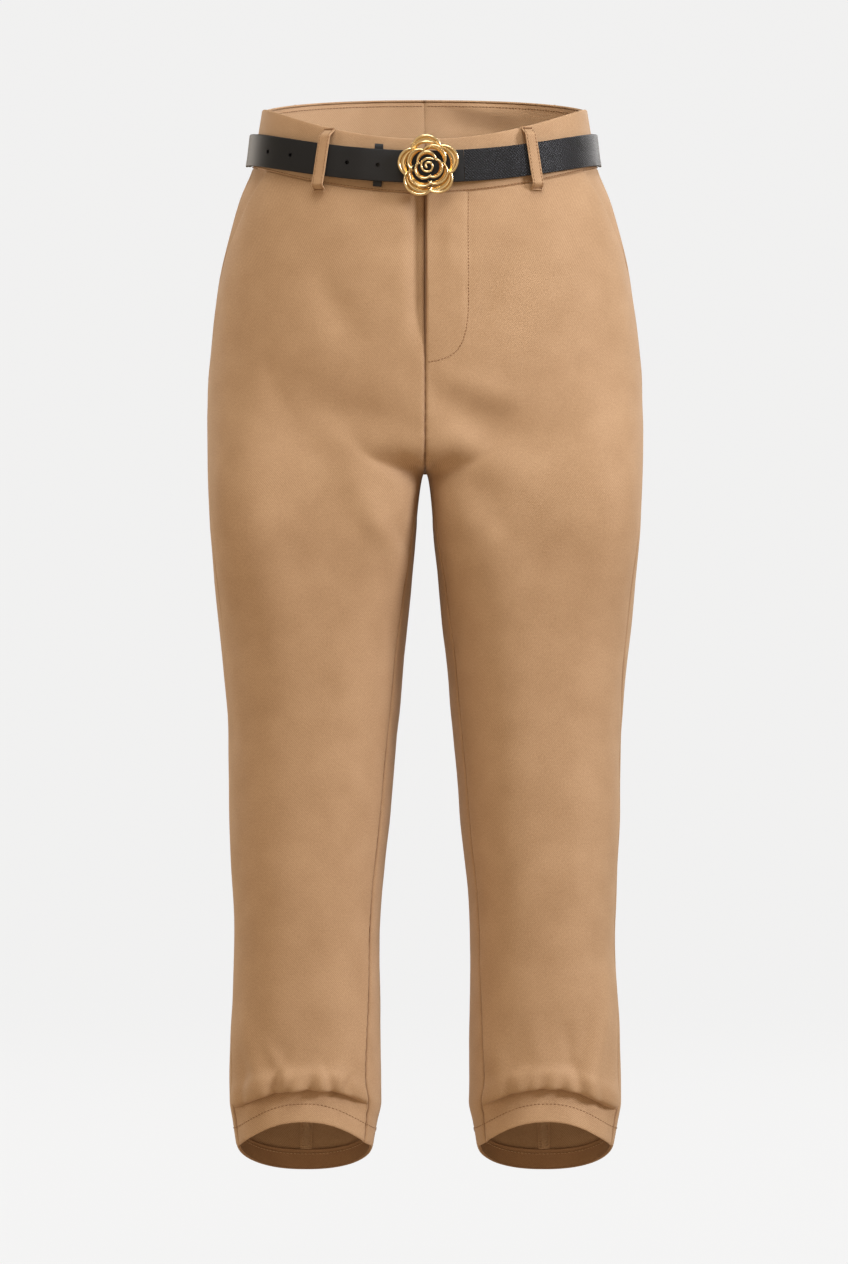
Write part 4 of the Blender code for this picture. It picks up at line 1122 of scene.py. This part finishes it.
@dataclass
class Waist:
    """Waistband, its facing, the fly's inner pieces and the belt loops."""

    skin: Skin
    drape: Drape
    finishes: Finishes
    stitching: Stitching
    cloth: float = 0.0012
    gap: float = 0.0003
    facing: float = 0.0010
    loop_width: float = 0.0105
    loop_length: float = 0.0547
    loop_thick: float = 0.0014

    def ring_out(self, angle: Array, level: Array) -> Array:
        """Level directions out from the hip ring: its slope turned a quarter."""
        ahead = self.skin.hip_ring(angle + 1e-3, level) - self.skin.hip_ring(angle - 1e-3, level)
        return unit(np.stack([ahead[..., 1], -ahead[..., 0], 0 * ahead[..., 0]], axis=-1))

    def ripple(self, side: Side, at: Array) -> Array:
        """The band's soft waves, and the slack fold inside the back of the wearer's left half."""
        x, y, z = at[..., 0], at[..., 1], at[..., 2]
        wave = 0.0004 * np.sin(70 * x + 40 * y + side.value) + 0.0002 * np.sin(190 * x + z * 60)
        if side is L:
            slack = bell((z - 0.052 + 0.16 * (x - 0.045)) / 0.006) * bell((x - 0.048) / 0.034) * (y > 0)
            wave = wave - 0.0020 * slack + 0.0012 * bell((z - 0.040 + 0.10 * x) / 0.006) * bell((x - 0.05) / 0.03) * (y > 0)
        return wave

    def band(self, side: Side) -> None:
        """Half the waistband: up the outside, over a round top edge, and the facing behind it."""
        skin = self.skin
        angle = np.radians(-90 + 180 * packed(190, 0.6))[None, :]
        round_top = np.linspace(0, np.pi, 9)[1:]
        radius = (self.cloth + self.gap + self.facing) / 2 + 0.0001
        low, high = skin.waist_seam + 0.0003, skin.waist_top - radius
        profile = [(low, 0.0010, -1.0, 0.0), (low + 0.0006, 0.0004, -1.0, 0.0), (low + 0.0016, 0.0001, -1.0, 0.0)]
        profile += [(h, 0.0, -1.0, 0.0) for h in np.linspace(low + 0.003, high, 22)]
        profile += [(high + radius * np.sin(a), radius - radius * np.cos(a), -np.cos(a), -np.sin(a)) for a in round_top]
        table = np.array(profile)
        level, inset = table[:, :1] + 0 * angle, table[:, 1:2]
        at = skin.hip_ring(angle + 0 * level, level)
        out = self.ring_out(angle + 0 * level, level)
        wave = self.ripple(side, at) * ease((level - low) / 0.008)
        edge = bell(np.minimum(run_length(at, 1), run_length(at, 1)[:, -1:] - run_length(at, 1)) / 0.0012, 1.5)
        outer = at + out * (wave - inset - 0.0008 * edge)[..., None]
        inner = outer + out * (table[:, 2:3] * self.cloth)[..., None] + np.array([0, 0, 1.0]) * table[:, 3][:, None, None] * self.cloth
        flip = np.array([side.value, 1, 1])
        for grid in (outer, inner):
            grid[..., 0] = np.maximum(grid[..., 0], 0.00001)
        piece = Shell(f"waistband_{side.word}_cloth", outer * flip, inner * flip, Slot.TWILL)
        made = dressed(piece.build(), self.finishes.twill, Slot.TWILL, f"waistband_{side.word}")
        declare(made, piece)
        level = np.linspace(low, high - 0.0012, 18)[:, None] + 0 * angle
        at = skin.hip_ring(angle + 0 * level, level)
        out = self.ring_out(angle + 0 * level, level)
        wave = self.ripple(side, at) * ease((level - low) / 0.008)
        outer = at + out * (wave - self.cloth - self.gap)[..., None]
        edge = bell(np.minimum(run_length(at, 1), run_length(at, 1)[:, -1:] - run_length(at, 1)) / 0.0016, 1.5)
        inner = outer - out * (self.facing - 0.0003 * edge)[..., None]
        for grid in (outer, inner):
            grid[..., 0] = np.maximum(grid[..., 0], 0.00001)
        piece = Shell(f"waistband_facing_{side.word}_cloth", outer * flip, inner * flip, Slot.INSIDE)
        # the facing takes the paler twill, painted light of the lamp from above
        made = dressed(piece.build(), self.finishes.pale, Slot.INSIDE, f"waistband_facing_{side.word}")
        declare(made, piece)
        self.band_stitches(side, low)

    def band_stitches(self, side: Side, low: float) -> None:
        """The stitches just above the waistband seam, and those below the top edge inside and out."""
        angle = np.radians(np.linspace(-89.6, 89.6, 900))
        flip = np.array([side.value, 1, 1])
        inside = self.cloth + self.gap + self.facing
        for height, depth in ((low + 0.0012, -0.00005), (self.skin.waist_top - 0.0055, inside + 0.0001)):
            level = height + 0 * angle
            at, out = self.skin.hip_ring(angle, level), self.ring_out(angle, level)
            wave = self.ripple(side, at) * ease((level - low) / 0.008)
            path = (at + out * (wave - depth)[..., None]) * flip
            self.stitching.run(path, out * flip * (1 if depth < 0.001 else -1), 0.0030, 0.0022)

    def fly(self) -> None:
        """The fly's facing and shield behind the left front, and the curved line of stitches on it."""
        levels = np.linspace(self.skin.waist_seam - 0.0006, -0.176, 70)
        down = (levels - levels[-1]) / (levels[0] - levels[-1])
        wide = 0.0375 * np.minimum(1.0, 0.35 + np.sqrt(np.clip(down / 0.22, 0, 1)))
        for name, start, more, depth in (("fly_facing", 0.0004, 0.0, 0.0), ("fly_shield", 0.0008, 0.002, 0.0013)):
            x = start + np.linspace(0, 1, 20)[None, :] * (wide + more - start)[:, None]
            around, level = self.skin.find(x, levels[:, None] - 0.0 * x)
            points, out = self.drape.cloth(L, around, np.minimum(level, self.skin.waist_seam - 0.0004))
            outer = points - out * (self.cloth + self.gap + depth + 0.0002)
            piece = Shell(f"{name}_cloth", outer, outer - out * self.facing, Slot.INSIDE)
            made = dressed(piece.build(), self.finishes.inside, Slot.INSIDE, name)
            declare(made, piece)
        px = np.array([0.0372, 0.0368, 0.0370, 0.0372, 0.0372, 0.0366, 0.0350, 0.0322, 0.0280, 0.0222, 0.0160, 0.0090, 0.0022])
        pz = np.array([-0.034, -0.060, -0.090, -0.115, -0.130, -0.142, -0.153, -0.1625, -0.1695, -0.1745, -0.1770, -0.1790, -0.1800])
        reach = np.concatenate([[0], np.cumsum(np.hypot(np.diff(px), np.diff(pz)))])
        fine = np.linspace(0, reach[-1], 300)
        around, level = self.skin.find(np.interp(fine, reach, px), np.interp(fine, reach, pz))
        path, out = self.drape.cloth(L, around, level)
        self.stitching.run(path + out * 0.00003, out, 0.0028, 0.0021)

    def loop(self, name: str, top_turn: float, foot_turn: float, clearance: float) -> None:
        """A belt loop: a folded strip that stands off over the belt and is sewn down at both ends.

        Args:
            name: Its node.
            top_turn: Degrees round from the middle front at its top.
            foot_turn: The same at its foot.
            clearance: How far it stands off.
        """
        share = np.linspace(0, 1, 90)
        turn = np.radians(top_turn + (foot_turn - top_turn) * share)
        angle = np.abs((turn + np.pi) % (2 * np.pi) - np.pi) - np.pi / 2
        flip = np.array([-1.0 if math.degrees(turn[0]) % 360 < 180 else 1.0, 1, 1])
        across, lean = power(np.cos(angle), self.skin.ring), power(np.sin(angle), self.skin.ring)
        top = self.skin.waist_top + self.skin.waist_tilt(across[:1], lean[:1], np.array([self.skin.waist_top]))
        height = top[0] - 0.0004 - share * self.loop_length
        level = height - self.skin.waist_tilt(across, lean, height)
        for _ in range(4):
            level = height - self.skin.waist_tilt(across, lean, level)
        at, out = self.skin.hip_ring(angle, level) * flip, self.ring_out(angle, level) * flip
        stand = clearance * ease((share - 0.035) / 0.11) * (1 - ease((share - 0.885) / 0.085))
        path = at + out * (0.0005 + stand + 0.0009 * ease((share - 0.9) / 0.08))[:, None]
        aside = unit(np.cross(out, (0, 0, 1.0)))
        face = unit(np.cross(aside, np.gradient(path, axis=0)))
        face *= np.sign((face * out).sum(1, keepdims=True))
        made = swept(f"{name}_cloth", path, aside, face, rounded_bar(self.loop_width, self.loop_thick, 0.0005))
        dressed(made, self.finishes.twill, Slot.TWILL, name)
        for offset in (-0.0038, 0.0038):
            self.stitching.run(path + aside * offset + face * (self.loop_thick + 0.00002), face, 0.0029, 0.0021)
        for row in (2, 5, 84, 87):
            bar = path[row] + aside[row] * np.linspace(-0.0042, 0.0042, 30)[:, None] + face[row] * self.loop_thick
            self.stitching.run(bar, np.repeat(face[row][None], 30, 0), 0.0011, 0.0014)

    def build(self) -> None:
        """Builds both halves of the band, the fly and the five loops."""
        for side in Side:
            self.band(side)
        self.fly()
        self.loop("belt_loop_front_right", 31.5, 32.8, 0.0082)
        self.loop("belt_loop_front_left", 325.8, 324.6, 0.0058)
        self.loop("belt_loop_back_right", 132.0, 132.0, 0.0058)
        self.loop("belt_loop_back_left", 228.0, 228.0, 0.0058)
        self.loop("belt_loop_back_middle", 180.0, 180.0, 0.0058)


# ---------------------------------------------------------------- belt


@dataclass
class Belt:
    """The strap that goes once round and over its own start, its holes and its keeper."""

    skin: Skin
    finishes: Finishes
    thick: float = 0.0022
    width: float = 0.0275
    clear: float = 0.0018
    side_height: float = 0.0075
    dip: float = 0.0205
    lift: float = 0.0185
    hole_radius: float = 0.0018
    hole_step: float = 0.0270
    first_hole: float = -0.0137

    def path(self, turn: Array, height: Array) -> tuple[Array, Array, Array, Array]:
        """Points against the waistband and directions out, by turn from the middle front and height."""
        spin = np.radians(turn % 360.0)
        angle = np.abs((spin + np.pi) % (2 * np.pi) - np.pi) - np.pi / 2
        flip = np.stack([np.where((turn % 360.0) < 180, -1.0, 1.0), 1 + 0 * turn, 1 + 0 * turn], axis=-1)
        across, lean = power(np.cos(angle), self.skin.ring), power(np.sin(angle), self.skin.ring)
        level = height - self.skin.drop(across, lean, self.skin.waist_dip, self.skin.waist_lift)
        for _ in range(4):
            level = height - self.skin.waist_tilt(across, lean, level)
        ahead = self.skin.hip_ring(angle + 1e-3, level) - self.skin.hip_ring(angle - 1e-3, level)
        out = unit(np.stack([ahead[..., 1], -ahead[..., 0], 0 * ahead[..., 0]], axis=-1))
        return self.skin.hip_ring(angle, level) * flip, out * flip, across, lean

    def ribbon(self, turn: Array, across: Array, out: Array) -> Array:
        """Points of the strap: its middle line dips in front, and its upper edge leans out by 1 mm."""
        _, _, sideways, lean = self.path(turn, 0 * turn)
        height = self.side_height + self.skin.drop(sideways, lean, self.dip, self.lift) + across * self.width / 2
        point, outward, _, _ = self.path(turn, height)
        return point + outward * (out + 0.0010 * (1 + across) / 2)[..., None]

    def off(self, turn: Array) -> Array:
        """How far the strap's inner face lies from the band: it climbs over its own start after one round."""
        over = self.thick + 0.0003 + 0.0018 * (1 - ease((turn - 376) / 10))
        return self.clear + over * ease((turn - 336) / 20)

    def strap(self, name: str, turn: Array, taper: bool, material: bpy.types.Material) -> bpy.types.Object:
        """A length of strap: a rounded bar bent along the ribbon."""
        bar = rounded_bar(2.0, self.thick, 0.0007, 5)
        edge = np.sign(bar[:, 0]) * (1 - (1 - np.abs(bar[:, 0])) / (self.width / 2))
        corner = np.abs(bar[:, 0]) > 1 - 0.0007 - 1e-9
        edge = np.where(corner, edge, bar[:, 0])
        across = np.concatenate([edge, [0.5, 0.0, -0.5], [-0.5, 0.0, 0.5]])
        depth = np.concatenate([bar[:, 1], [self.thick] * 3, [0.0] * 3])
        order = np.argsort(np.arctan2(depth - self.thick / 2, across * 0.01))
        across, depth = across[order], depth[order]
        narrow = np.sqrt(np.clip((turn[-1] - turn) / 5.0, 0.03, 1.0)) if taper else np.ones(len(turn))
        grid_turn = turn[:, None] + 0 * across
        points = self.ribbon(grid_turn, across[None, :] * narrow[:, None], self.off(grid_turn) + depth[None, :])
        zero = np.zeros((len(turn), 3))
        rows, sides = points.shape[:2]
        index = np.arange(rows * sides).reshape(rows, sides)
        index = np.concatenate([index, index[:, :1]], axis=1)
        a, b, c, d = index[:-1, :-1], index[1:, :-1], index[1:, 1:], index[:-1, 1:]
        faces = np.stack([x.reshape(-1) for x in (a, b, c, d)], axis=1).tolist()
        faces += [index[0, :-1].tolist(), index[-1, :-1][::-1].tolist()]
        mesh = bpy.data.meshes.new(name)
        mesh.from_pydata(points.reshape(-1, 3).tolist(), [], faces)
        made = new_from_mesh(name, mesh)
        along = run_length(points.mean(1))[:, None] + 0 * across
        measure = np.stack([along, across[None, :] * self.width / 2 + 0 * along], axis=-1)
        put_map(made, measure.reshape(-1, 2), zero[:, :1].repeat(sides, 1).reshape(-1))
        made.data.materials.append(material)
        return made

    def turn_at(self, distance: float) -> float:
        """The turn that lies this far along the tail from the middle front."""
        turn = np.linspace(340, 455, 921)
        length = run_length(self.ribbon(turn, 0 * turn, self.off(turn)))
        return float(np.interp(distance + np.interp(360, turn, length), length, turn))

    def punch(self, strap: bpy.types.Object) -> None:
        """Cuts the row of round holes through the tail."""
        cutter_mesh = bpy.data.meshes.new("hole_punch")
        work = bmesh.new()
        for number in range(7):
            turn = np.array([self.turn_at(self.first_hole + number * self.hole_step)])
            middle = self.ribbon(turn, 0 * turn, self.off(turn) + self.thick / 2)[0]
            out = self.path(turn, np.array([middle[2]]))[1][0]
            new = bmesh.ops.create_cone(
                work, cap_ends=True, segments=24, radius1=self.hole_radius, radius2=self.hole_radius, depth=0.006
            )["verts"]
            turn_to = np.stack([unit(np.cross(out, (0, 0, 1.0))), np.array([0, 0, 1.0]), out], axis=1)
            for v in new:
                v.co = turn_to @ np.array(v.co) + middle
        bmesh.ops.recalc_face_normals(work, faces=work.faces)
        work.to_mesh(cutter_mesh)
        work.free()
        cutter = bpy.data.objects.new("hole_punch", cutter_mesh)
        bpy.context.scene.collection.objects.link(cutter)
        cut = strap.modifiers.new("holes", "BOOLEAN")
        cut.operation, cut.object, cut.solver = "DIFFERENCE", cutter, "EXACT"
        graph = bpy.context.evaluated_depsgraph_get()
        mesh = bpy.data.meshes.new_from_object(strap.evaluated_get(graph))
        strap.modifiers.clear()
        strap.data = mesh
        mesh.set_sharp_from_angle(angle=math.radians(50))
        bpy.data.objects.remove(cutter)

    def keeper(self) -> None:
        """The narrow keeper round the strap's start: a closed rounded band."""
        turn = np.linspace(11.2, 13.8, 9)
        tall, wall = 1.26, 0.0011
        angle = np.linspace(0, 2 * np.pi, 40, endpoint=False)
        shape = [power(np.cos(angle), 0.25), power(np.sin(angle), 0.45)]
        rings = []
        for reach in (0.0, wall):
            across = shape[0] * (tall + reach / self.width * 2)
            depth = self.thick / 2 + shape[1] * (self.thick / 2 + 0.0003 + reach)
            rings.append(np.stack([self.ribbon(t + 0 * across, across, self.clear + depth) for t in turn]))
        outer, inner = rings[1], rings[0]
        piece = Shell("belt_keeper_leather", outer, inner, Slot.LEATHER, ring=True)
        dressed(piece.build(), self.finishes.smooth, Slot.LEATHER, "belt_keeper")

    def build(self) -> None:
        """Builds the grained round, the smooth tail with its holes, and the keeper."""
        base = self.strap("belt_round_leather", np.linspace(2.15, 350.0, 420), False, self.finishes.grained)
        dressed(base, self.finishes.grained, Slot.LEATHER, "belt_strap")
        tail = self.strap("belt_tail_leather", np.linspace(350.1, 462.0, 240), True, self.finishes.smooth)
        self.punch(tail)
        dressed(tail, self.finishes.smooth, Slot.LEATHER, "belt_strap")
        self.keeper()


# ---------------------------------------------------------------- buckle


@dataclass(frozen=True)
class Petal:
    """A rolled petal: a bowed band from one foot over its rim to the other foot."""

    turn: float
    spread: float
    rim: float
    foot: float
    width: float
    height: float
    cup: float


@dataclass
class RoseBuckle:
    """An openwork rose of rolled petals round a spiral heart."""

    finishes: Finishes
    place: tuple[float, float, float] = (0.0025, -0.1120, -0.0132)
    radius: float = 0.0262
    petals: tuple[Petal, ...] = (
        Petal(96, 42, 1.000, 0.60, 0.250, 0.0036, 0.0016),
        Petal(166, 40, 0.960, 0.60, 0.240, 0.0030, 0.0014),
        Petal(238, 43, 1.000, 0.60, 0.250, 0.0036, 0.0016),
        Petal(309, 41, 0.965, 0.60, 0.240, 0.0030, 0.0014),
        Petal(22, 42, 1.000, 0.60, 0.250, 0.0034, 0.0016),
        Petal(58, 52, 0.720, 0.42, 0.135, 0.0058, 0.0014),
        Petal(150, 50, 0.690, 0.42, 0.125, 0.0052, 0.0012),
        Petal(232, 52, 0.730, 0.42, 0.135, 0.0058, 0.0014),
        Petal(322, 52, 0.690, 0.42, 0.125, 0.0052, 0.0012),
        Petal(104, 66, 0.470, 0.25, 0.090, 0.0074, 0.0008),
        Petal(222, 64, 0.455, 0.25, 0.085, 0.0070, 0.0008),
        Petal(340, 66, 0.475, 0.25, 0.090, 0.0074, 0.0008),
    )

    def petal(self, petal: Petal) -> tuple[Array, Array]:
        """Points and faces of one petal. Its rim runs at a radius that falls to the foot with a root of the sine,
        and the band narrows to its ends, dips in the middle and has a bead along the rim."""
        s = packed(56, 0.35)[:, None]
        k = np.linspace(0, 1, 12)[None, :]
        arch = np.sin(np.pi * (0.02 + 0.96 * s))
        angle = np.radians(petal.turn) + np.radians(petal.spread) * (2 * s - 1) * (1.0 - 0.10 * arch)
        rim = petal.foot + (petal.rim - petal.foot) * arch**0.55 * (1 + 0.010 * np.sin(3 * np.pi * s + petal.turn))
        width = petal.width * arch**0.7
        radius = self.radius * (rim - width * k)
        angle = angle + 0 * k
        height = petal.height + 0.0008 * arch - petal.cup * np.sin(np.pi * np.clip(k * 0.95, 0, 1)) * arch**0.5
        height = height + 0.0009 * bell(k / 0.16) + 0.0006 * bell((1 - k) / 0.14)
        top = np.stack([radius * np.cos(angle), -height, radius * np.sin(angle)], axis=-1)
        thick = 0.0011 + 0.0003 * bell(k / 0.2)
        low = top + np.array([0, 1.0, 0]) * (thick * np.ones_like(height))[..., None]
        rows, columns = top.shape[:2]
        index = np.arange(rows * columns).reshape(rows, columns)
        quads = (index[:-1, :-1], index[1:, :-1], index[1:, 1:], index[:-1, 1:])
        face = np.stack([x.reshape(-1) for x in quads], axis=1)
        count = rows * columns
        rims = []
        for e in (index[0], index[-1][::-1], index[::-1, 0], index[:, -1]):
            rims.append(np.stack([e[:-1], e[1:], e[1:] + count, e[:-1] + count], axis=1))
        return np.concatenate([top.reshape(-1, 3), low.reshape(-1, 3)]), np.concatenate([face, face[:, ::-1] + count, *rims])

    def tube(self, path: Array, radius: Array) -> tuple[Array, Array]:
        """Points and faces of a round wire along a path, with ends drawn to a point."""
        forward = unit(np.gradient(path, axis=0))
        first = unit(np.cross(forward, (0, 1.0, 0)))
        second = np.cross(forward, first)
        angle = np.arange(10) * 2 * np.pi / 10
        ring = np.cos(angle)[None, :, None] * first[:, None] + np.sin(angle)[None, :, None] * second[:, None]
        points = path[:, None] + radius[:, None, None] * ring
        index = np.arange(len(path) * 10).reshape(len(path), 10)
        index = np.concatenate([index, index[:, :1]], axis=1)
        quads = (index[:-1, :-1], index[1:, :-1], index[1:, 1:], index[:-1, 1:])
        return points.reshape(-1, 3), np.stack([x.reshape(-1) for x in quads], axis=1)

    def build(self) -> None:
        """Joins petals, rim wires and the spiral heart, and gilds them."""
        points, faces, count = [], [], 0

        def keep(made: tuple[Array, Array]) -> None:
            """Adds one part's points and faces."""
            nonlocal count
            points.append(made[0])
            faces.append(made[1] + count)
            count += len(made[0])

        for petal in self.petals:
            keep(self.petal(petal))
            s = np.linspace(0, 1, 70)
            arch = np.sin(np.pi * (0.02 + 0.96 * s))
            angle = np.radians(petal.turn) + np.radians(petal.spread) * (2 * s - 1) * (1.0 - 0.10 * arch)
            rim = petal.foot + (petal.rim - petal.foot) * arch**0.55 * (1 + 0.010 * np.sin(3 * np.pi * s + petal.turn))
            for inner, thick in ((0.0, 0.00130 if petal.rim > 0.8 else 0.00105),):
                r = self.radius * (rim - inner * petal.width * arch**0.7)
                y = -(petal.height + 0.0008 * arch + 0.0005)
                path = np.stack([r * np.cos(angle), y, r * np.sin(angle)], axis=-1)
                keep(self.tube(path, thick * np.clip(arch * 4, 0.1, 1)))
        s = np.linspace(0, 1, 160)
        angle = 2 * np.pi * 1.6 * s + 0.8
        r = self.radius * (0.270 - 0.225 * s)
        heart = np.stack([r * np.cos(angle), -(0.0078 + 0.0016 * s), r * np.sin(angle)], axis=-1)
        keep(self.tube(heart, 0.00105 * np.clip(np.minimum(s, 1 - s) * 30, 0.15, 1)))
        wall = heart + (0, 0.0012, 0)
        keep(self.tube(wall, 0.0009 * np.clip(np.minimum(s, 1 - s) * 30, 0.15, 1)))
        made = new_object("rose_buckle_petals", np.concatenate(points) + self.place, np.concatenate(faces))
        dressed(made, self.finishes.gold, Slot.GOLD, "buckle_rose")


# ---------------------------------------------------------------- stage


@dataclass(frozen=True)
class Studio:
    """Pale floor and backdrop, soft lights and the camera."""

    paper: str = "#f4f4f4"
    distance: float = 6.0
    middle: float = -0.4106
    frame_height: float = 1.0997

    def room(self) -> None:
        """A round room of paper: a flat floor, then a quarter circle up into a wall, then a dome. Light that the
        cloth scatters doesn't meet it, so that the wide lamps alone shape the folds."""
        bend = np.linspace(0, np.pi / 2, 16)
        floor, wide, cove = -1.02, 15.0, 3.0
        r = np.concatenate([[0.002, 4.0, 8.0], wide - cove + cove * np.sin(bend), wide * np.cos(bend[1:-1])])
        z = np.concatenate([[0.0, 0.0, 0.0], cove - cove * np.cos(bend), cove + 2.0 + 10.0 * np.sin(bend[1:-1])]) + floor
        turn = np.linspace(0, 2 * np.pi, 64, endpoint=False)
        ring = np.stack([np.cos(turn), np.sin(turn)], axis=-1)
        points = np.concatenate([r[:, None, None] * ring[None], z[:, None, None] + 0 * ring[None, :, :1]], axis=-1)
        index = np.arange(len(r) * 64).reshape(len(r), 64)
        index = np.concatenate([index, index[:, :1]], axis=1)
        a, b, c, d = index[:-1, :-1], index[:-1, 1:], index[1:, 1:], index[1:, :-1]
        faces = np.stack([x.reshape(-1) for x in (a, b, c, d)], axis=1).tolist()
        faces += [index[0, :-1].tolist(), index[-1, :-1][::-1].tolist()]
        mesh = bpy.data.meshes.new("paper_room")
        mesh.from_pydata(points.reshape(-1, 3).tolist(), [], faces)
        mesh.shade_smooth()
        room = bpy.data.objects.new("paper_room", mesh)
        bpy.context.scene.collection.objects.link(room)
        room.visible_diffuse = False
        room.visible_glossy = False
        room.visible_shadow = False
        material, _, shader = blank("matt_white_paper")
        shader.inputs["Base Color"].default_value = linear("#3c3c3c")
        shader.inputs["Roughness"].default_value = 0.9
        shader.inputs["Specular IOR Level"].default_value = 0.0
        shader.inputs["Emission Color"].default_value = linear(self.paper)
        shader.inputs["Emission Strength"].default_value = 0.95
        mesh.materials.append(material)

    def sky(self) -> None:
        """The room's own soft light: brighter from above, dim at the horizon, a little warm from below."""
        world = bpy.data.worlds.new("soft_room_light")
        world.use_nodes = True
        tree = world.node_tree
        place = add_node(tree, "ShaderNodeTexCoord").outputs["Generated"]
        height = add_node(tree, "ShaderNodeSeparateXYZ", {0: place}).outputs["Z"]
        ramp = add_node(tree, "ShaderNodeValToRGB", {0: height})
        ramp.color_ramp.elements[0].position, ramp.color_ramp.elements[0].color = 0.0, linear("#ae9c86")
        ramp.color_ramp.elements[1].position, ramp.color_ramp.elements[1].color = 0.8, linear("#bdb2a2")
        middle = ramp.color_ramp.elements.new(0.25)
        middle.color = linear("#776d60")
        tree.links.new(ramp.outputs[0], tree.nodes["Background"].inputs["Color"])
        tree.nodes["Background"].inputs["Strength"].default_value = 1.05
        bpy.context.scene.world = world

    def light(self, name: str, at: tuple[float, float, float], size: float, power_w: float, tint: str, shine: bool = True) -> None:
        """A square soft light aimed at the middle of the trousers."""
        lamp = bpy.data.lights.new(name, "AREA")
        lamp.shape, lamp.size, lamp.energy, lamp.color = "SQUARE", size, power_w, linear(tint)[:3]
        made = bpy.data.objects.new(name, lamp)
        made.location = at
        made.visible_glossy = shine
        aim = np.array([0.0, 0.0, self.middle]) - np.array(at)
        made.rotation_euler = (
            math.atan2(math.hypot(aim[0], aim[1]), -aim[2]), 0.0, math.atan2(aim[0], -aim[1]) + math.pi
        )
        bpy.context.scene.collection.objects.link(made)

    def camera(self) -> None:
        """A long level lens that frames the trousers as the photograph does."""
        lens = bpy.data.cameras.new("camera")
        lens.sensor_width = 36.0
        lens.lens = 36.0 * self.distance / self.frame_height
        made = bpy.data.objects.new("camera", lens)
        made.location = (-0.0009, -self.distance, self.middle)
        made.rotation_euler = (math.pi / 2, 0.0, 0.0)
        bpy.context.scene.collection.objects.link(made)
        bpy.context.scene.camera = made

    def build(self) -> None:
        """Sets the room, the lights and the camera."""
        self.room()
        self.light("key_light", (3.5, -1.9, 1.25), 1.2, 138.0, "#f4f6ff")
        self.light("side_light", (-3.4, -0.5, 0.2), 2.2, 26.0, "#fff4e8", shine=False)
        self.light("back_light_right", (2.0, 3.2, 1.1), 1.8, 42.0, "#ffffff")
        self.light("back_light_left", (-2.4, 2.8, 0.5), 2.0, 34.0, "#fff6ec")
        self.light("fill_light", (-1.2, -3.8, 0.3), 2.2, 10.0, "#ffe2c4")
        self.light("top_light", (0.2, -1.3, 1.7), 1.2, 26.0, "#ffffff")
        self.light("floor_bounce", (-0.2, -2.6, -2.5), 2.0, 13.0, "#ffe9d2", shine=False)
        self.sky()
        bpy.context.scene.view_settings.view_transform = "Standard"
        self.camera()


def main() -> None:
    """Builds every class in order and reports it, then gilds the buckle's staple and stud."""
    logging.basicConfig(level=logging.INFO, format="%(name)s %(message)s", stream=sys.stdout)
    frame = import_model()
    Studio().build()
    skin = Skin()
    drape = Drape(skin)
    finishes = Finishes()
    stitching = Stitching("stitching", finishes.thread)
    pale_stitching = Stitching("inner_stitching", finishes.pale_thread)
    for side in Side:
        LegPieces(side, skin, drape, finishes, stitching, pale_stitching).build()
    Waist(skin, drape, finishes, stitching).build()
    Belt(skin, finishes).build()
    RoseBuckle(finishes).build()
    stitching.build()
    pale_stitching.build()
    for name in ("buckle_staple", "buckle_stud"):
        for slot in frame["nodes"][name].material_slots:
            slot.material = finishes.gold


if __name__ == "__main__":
    main()
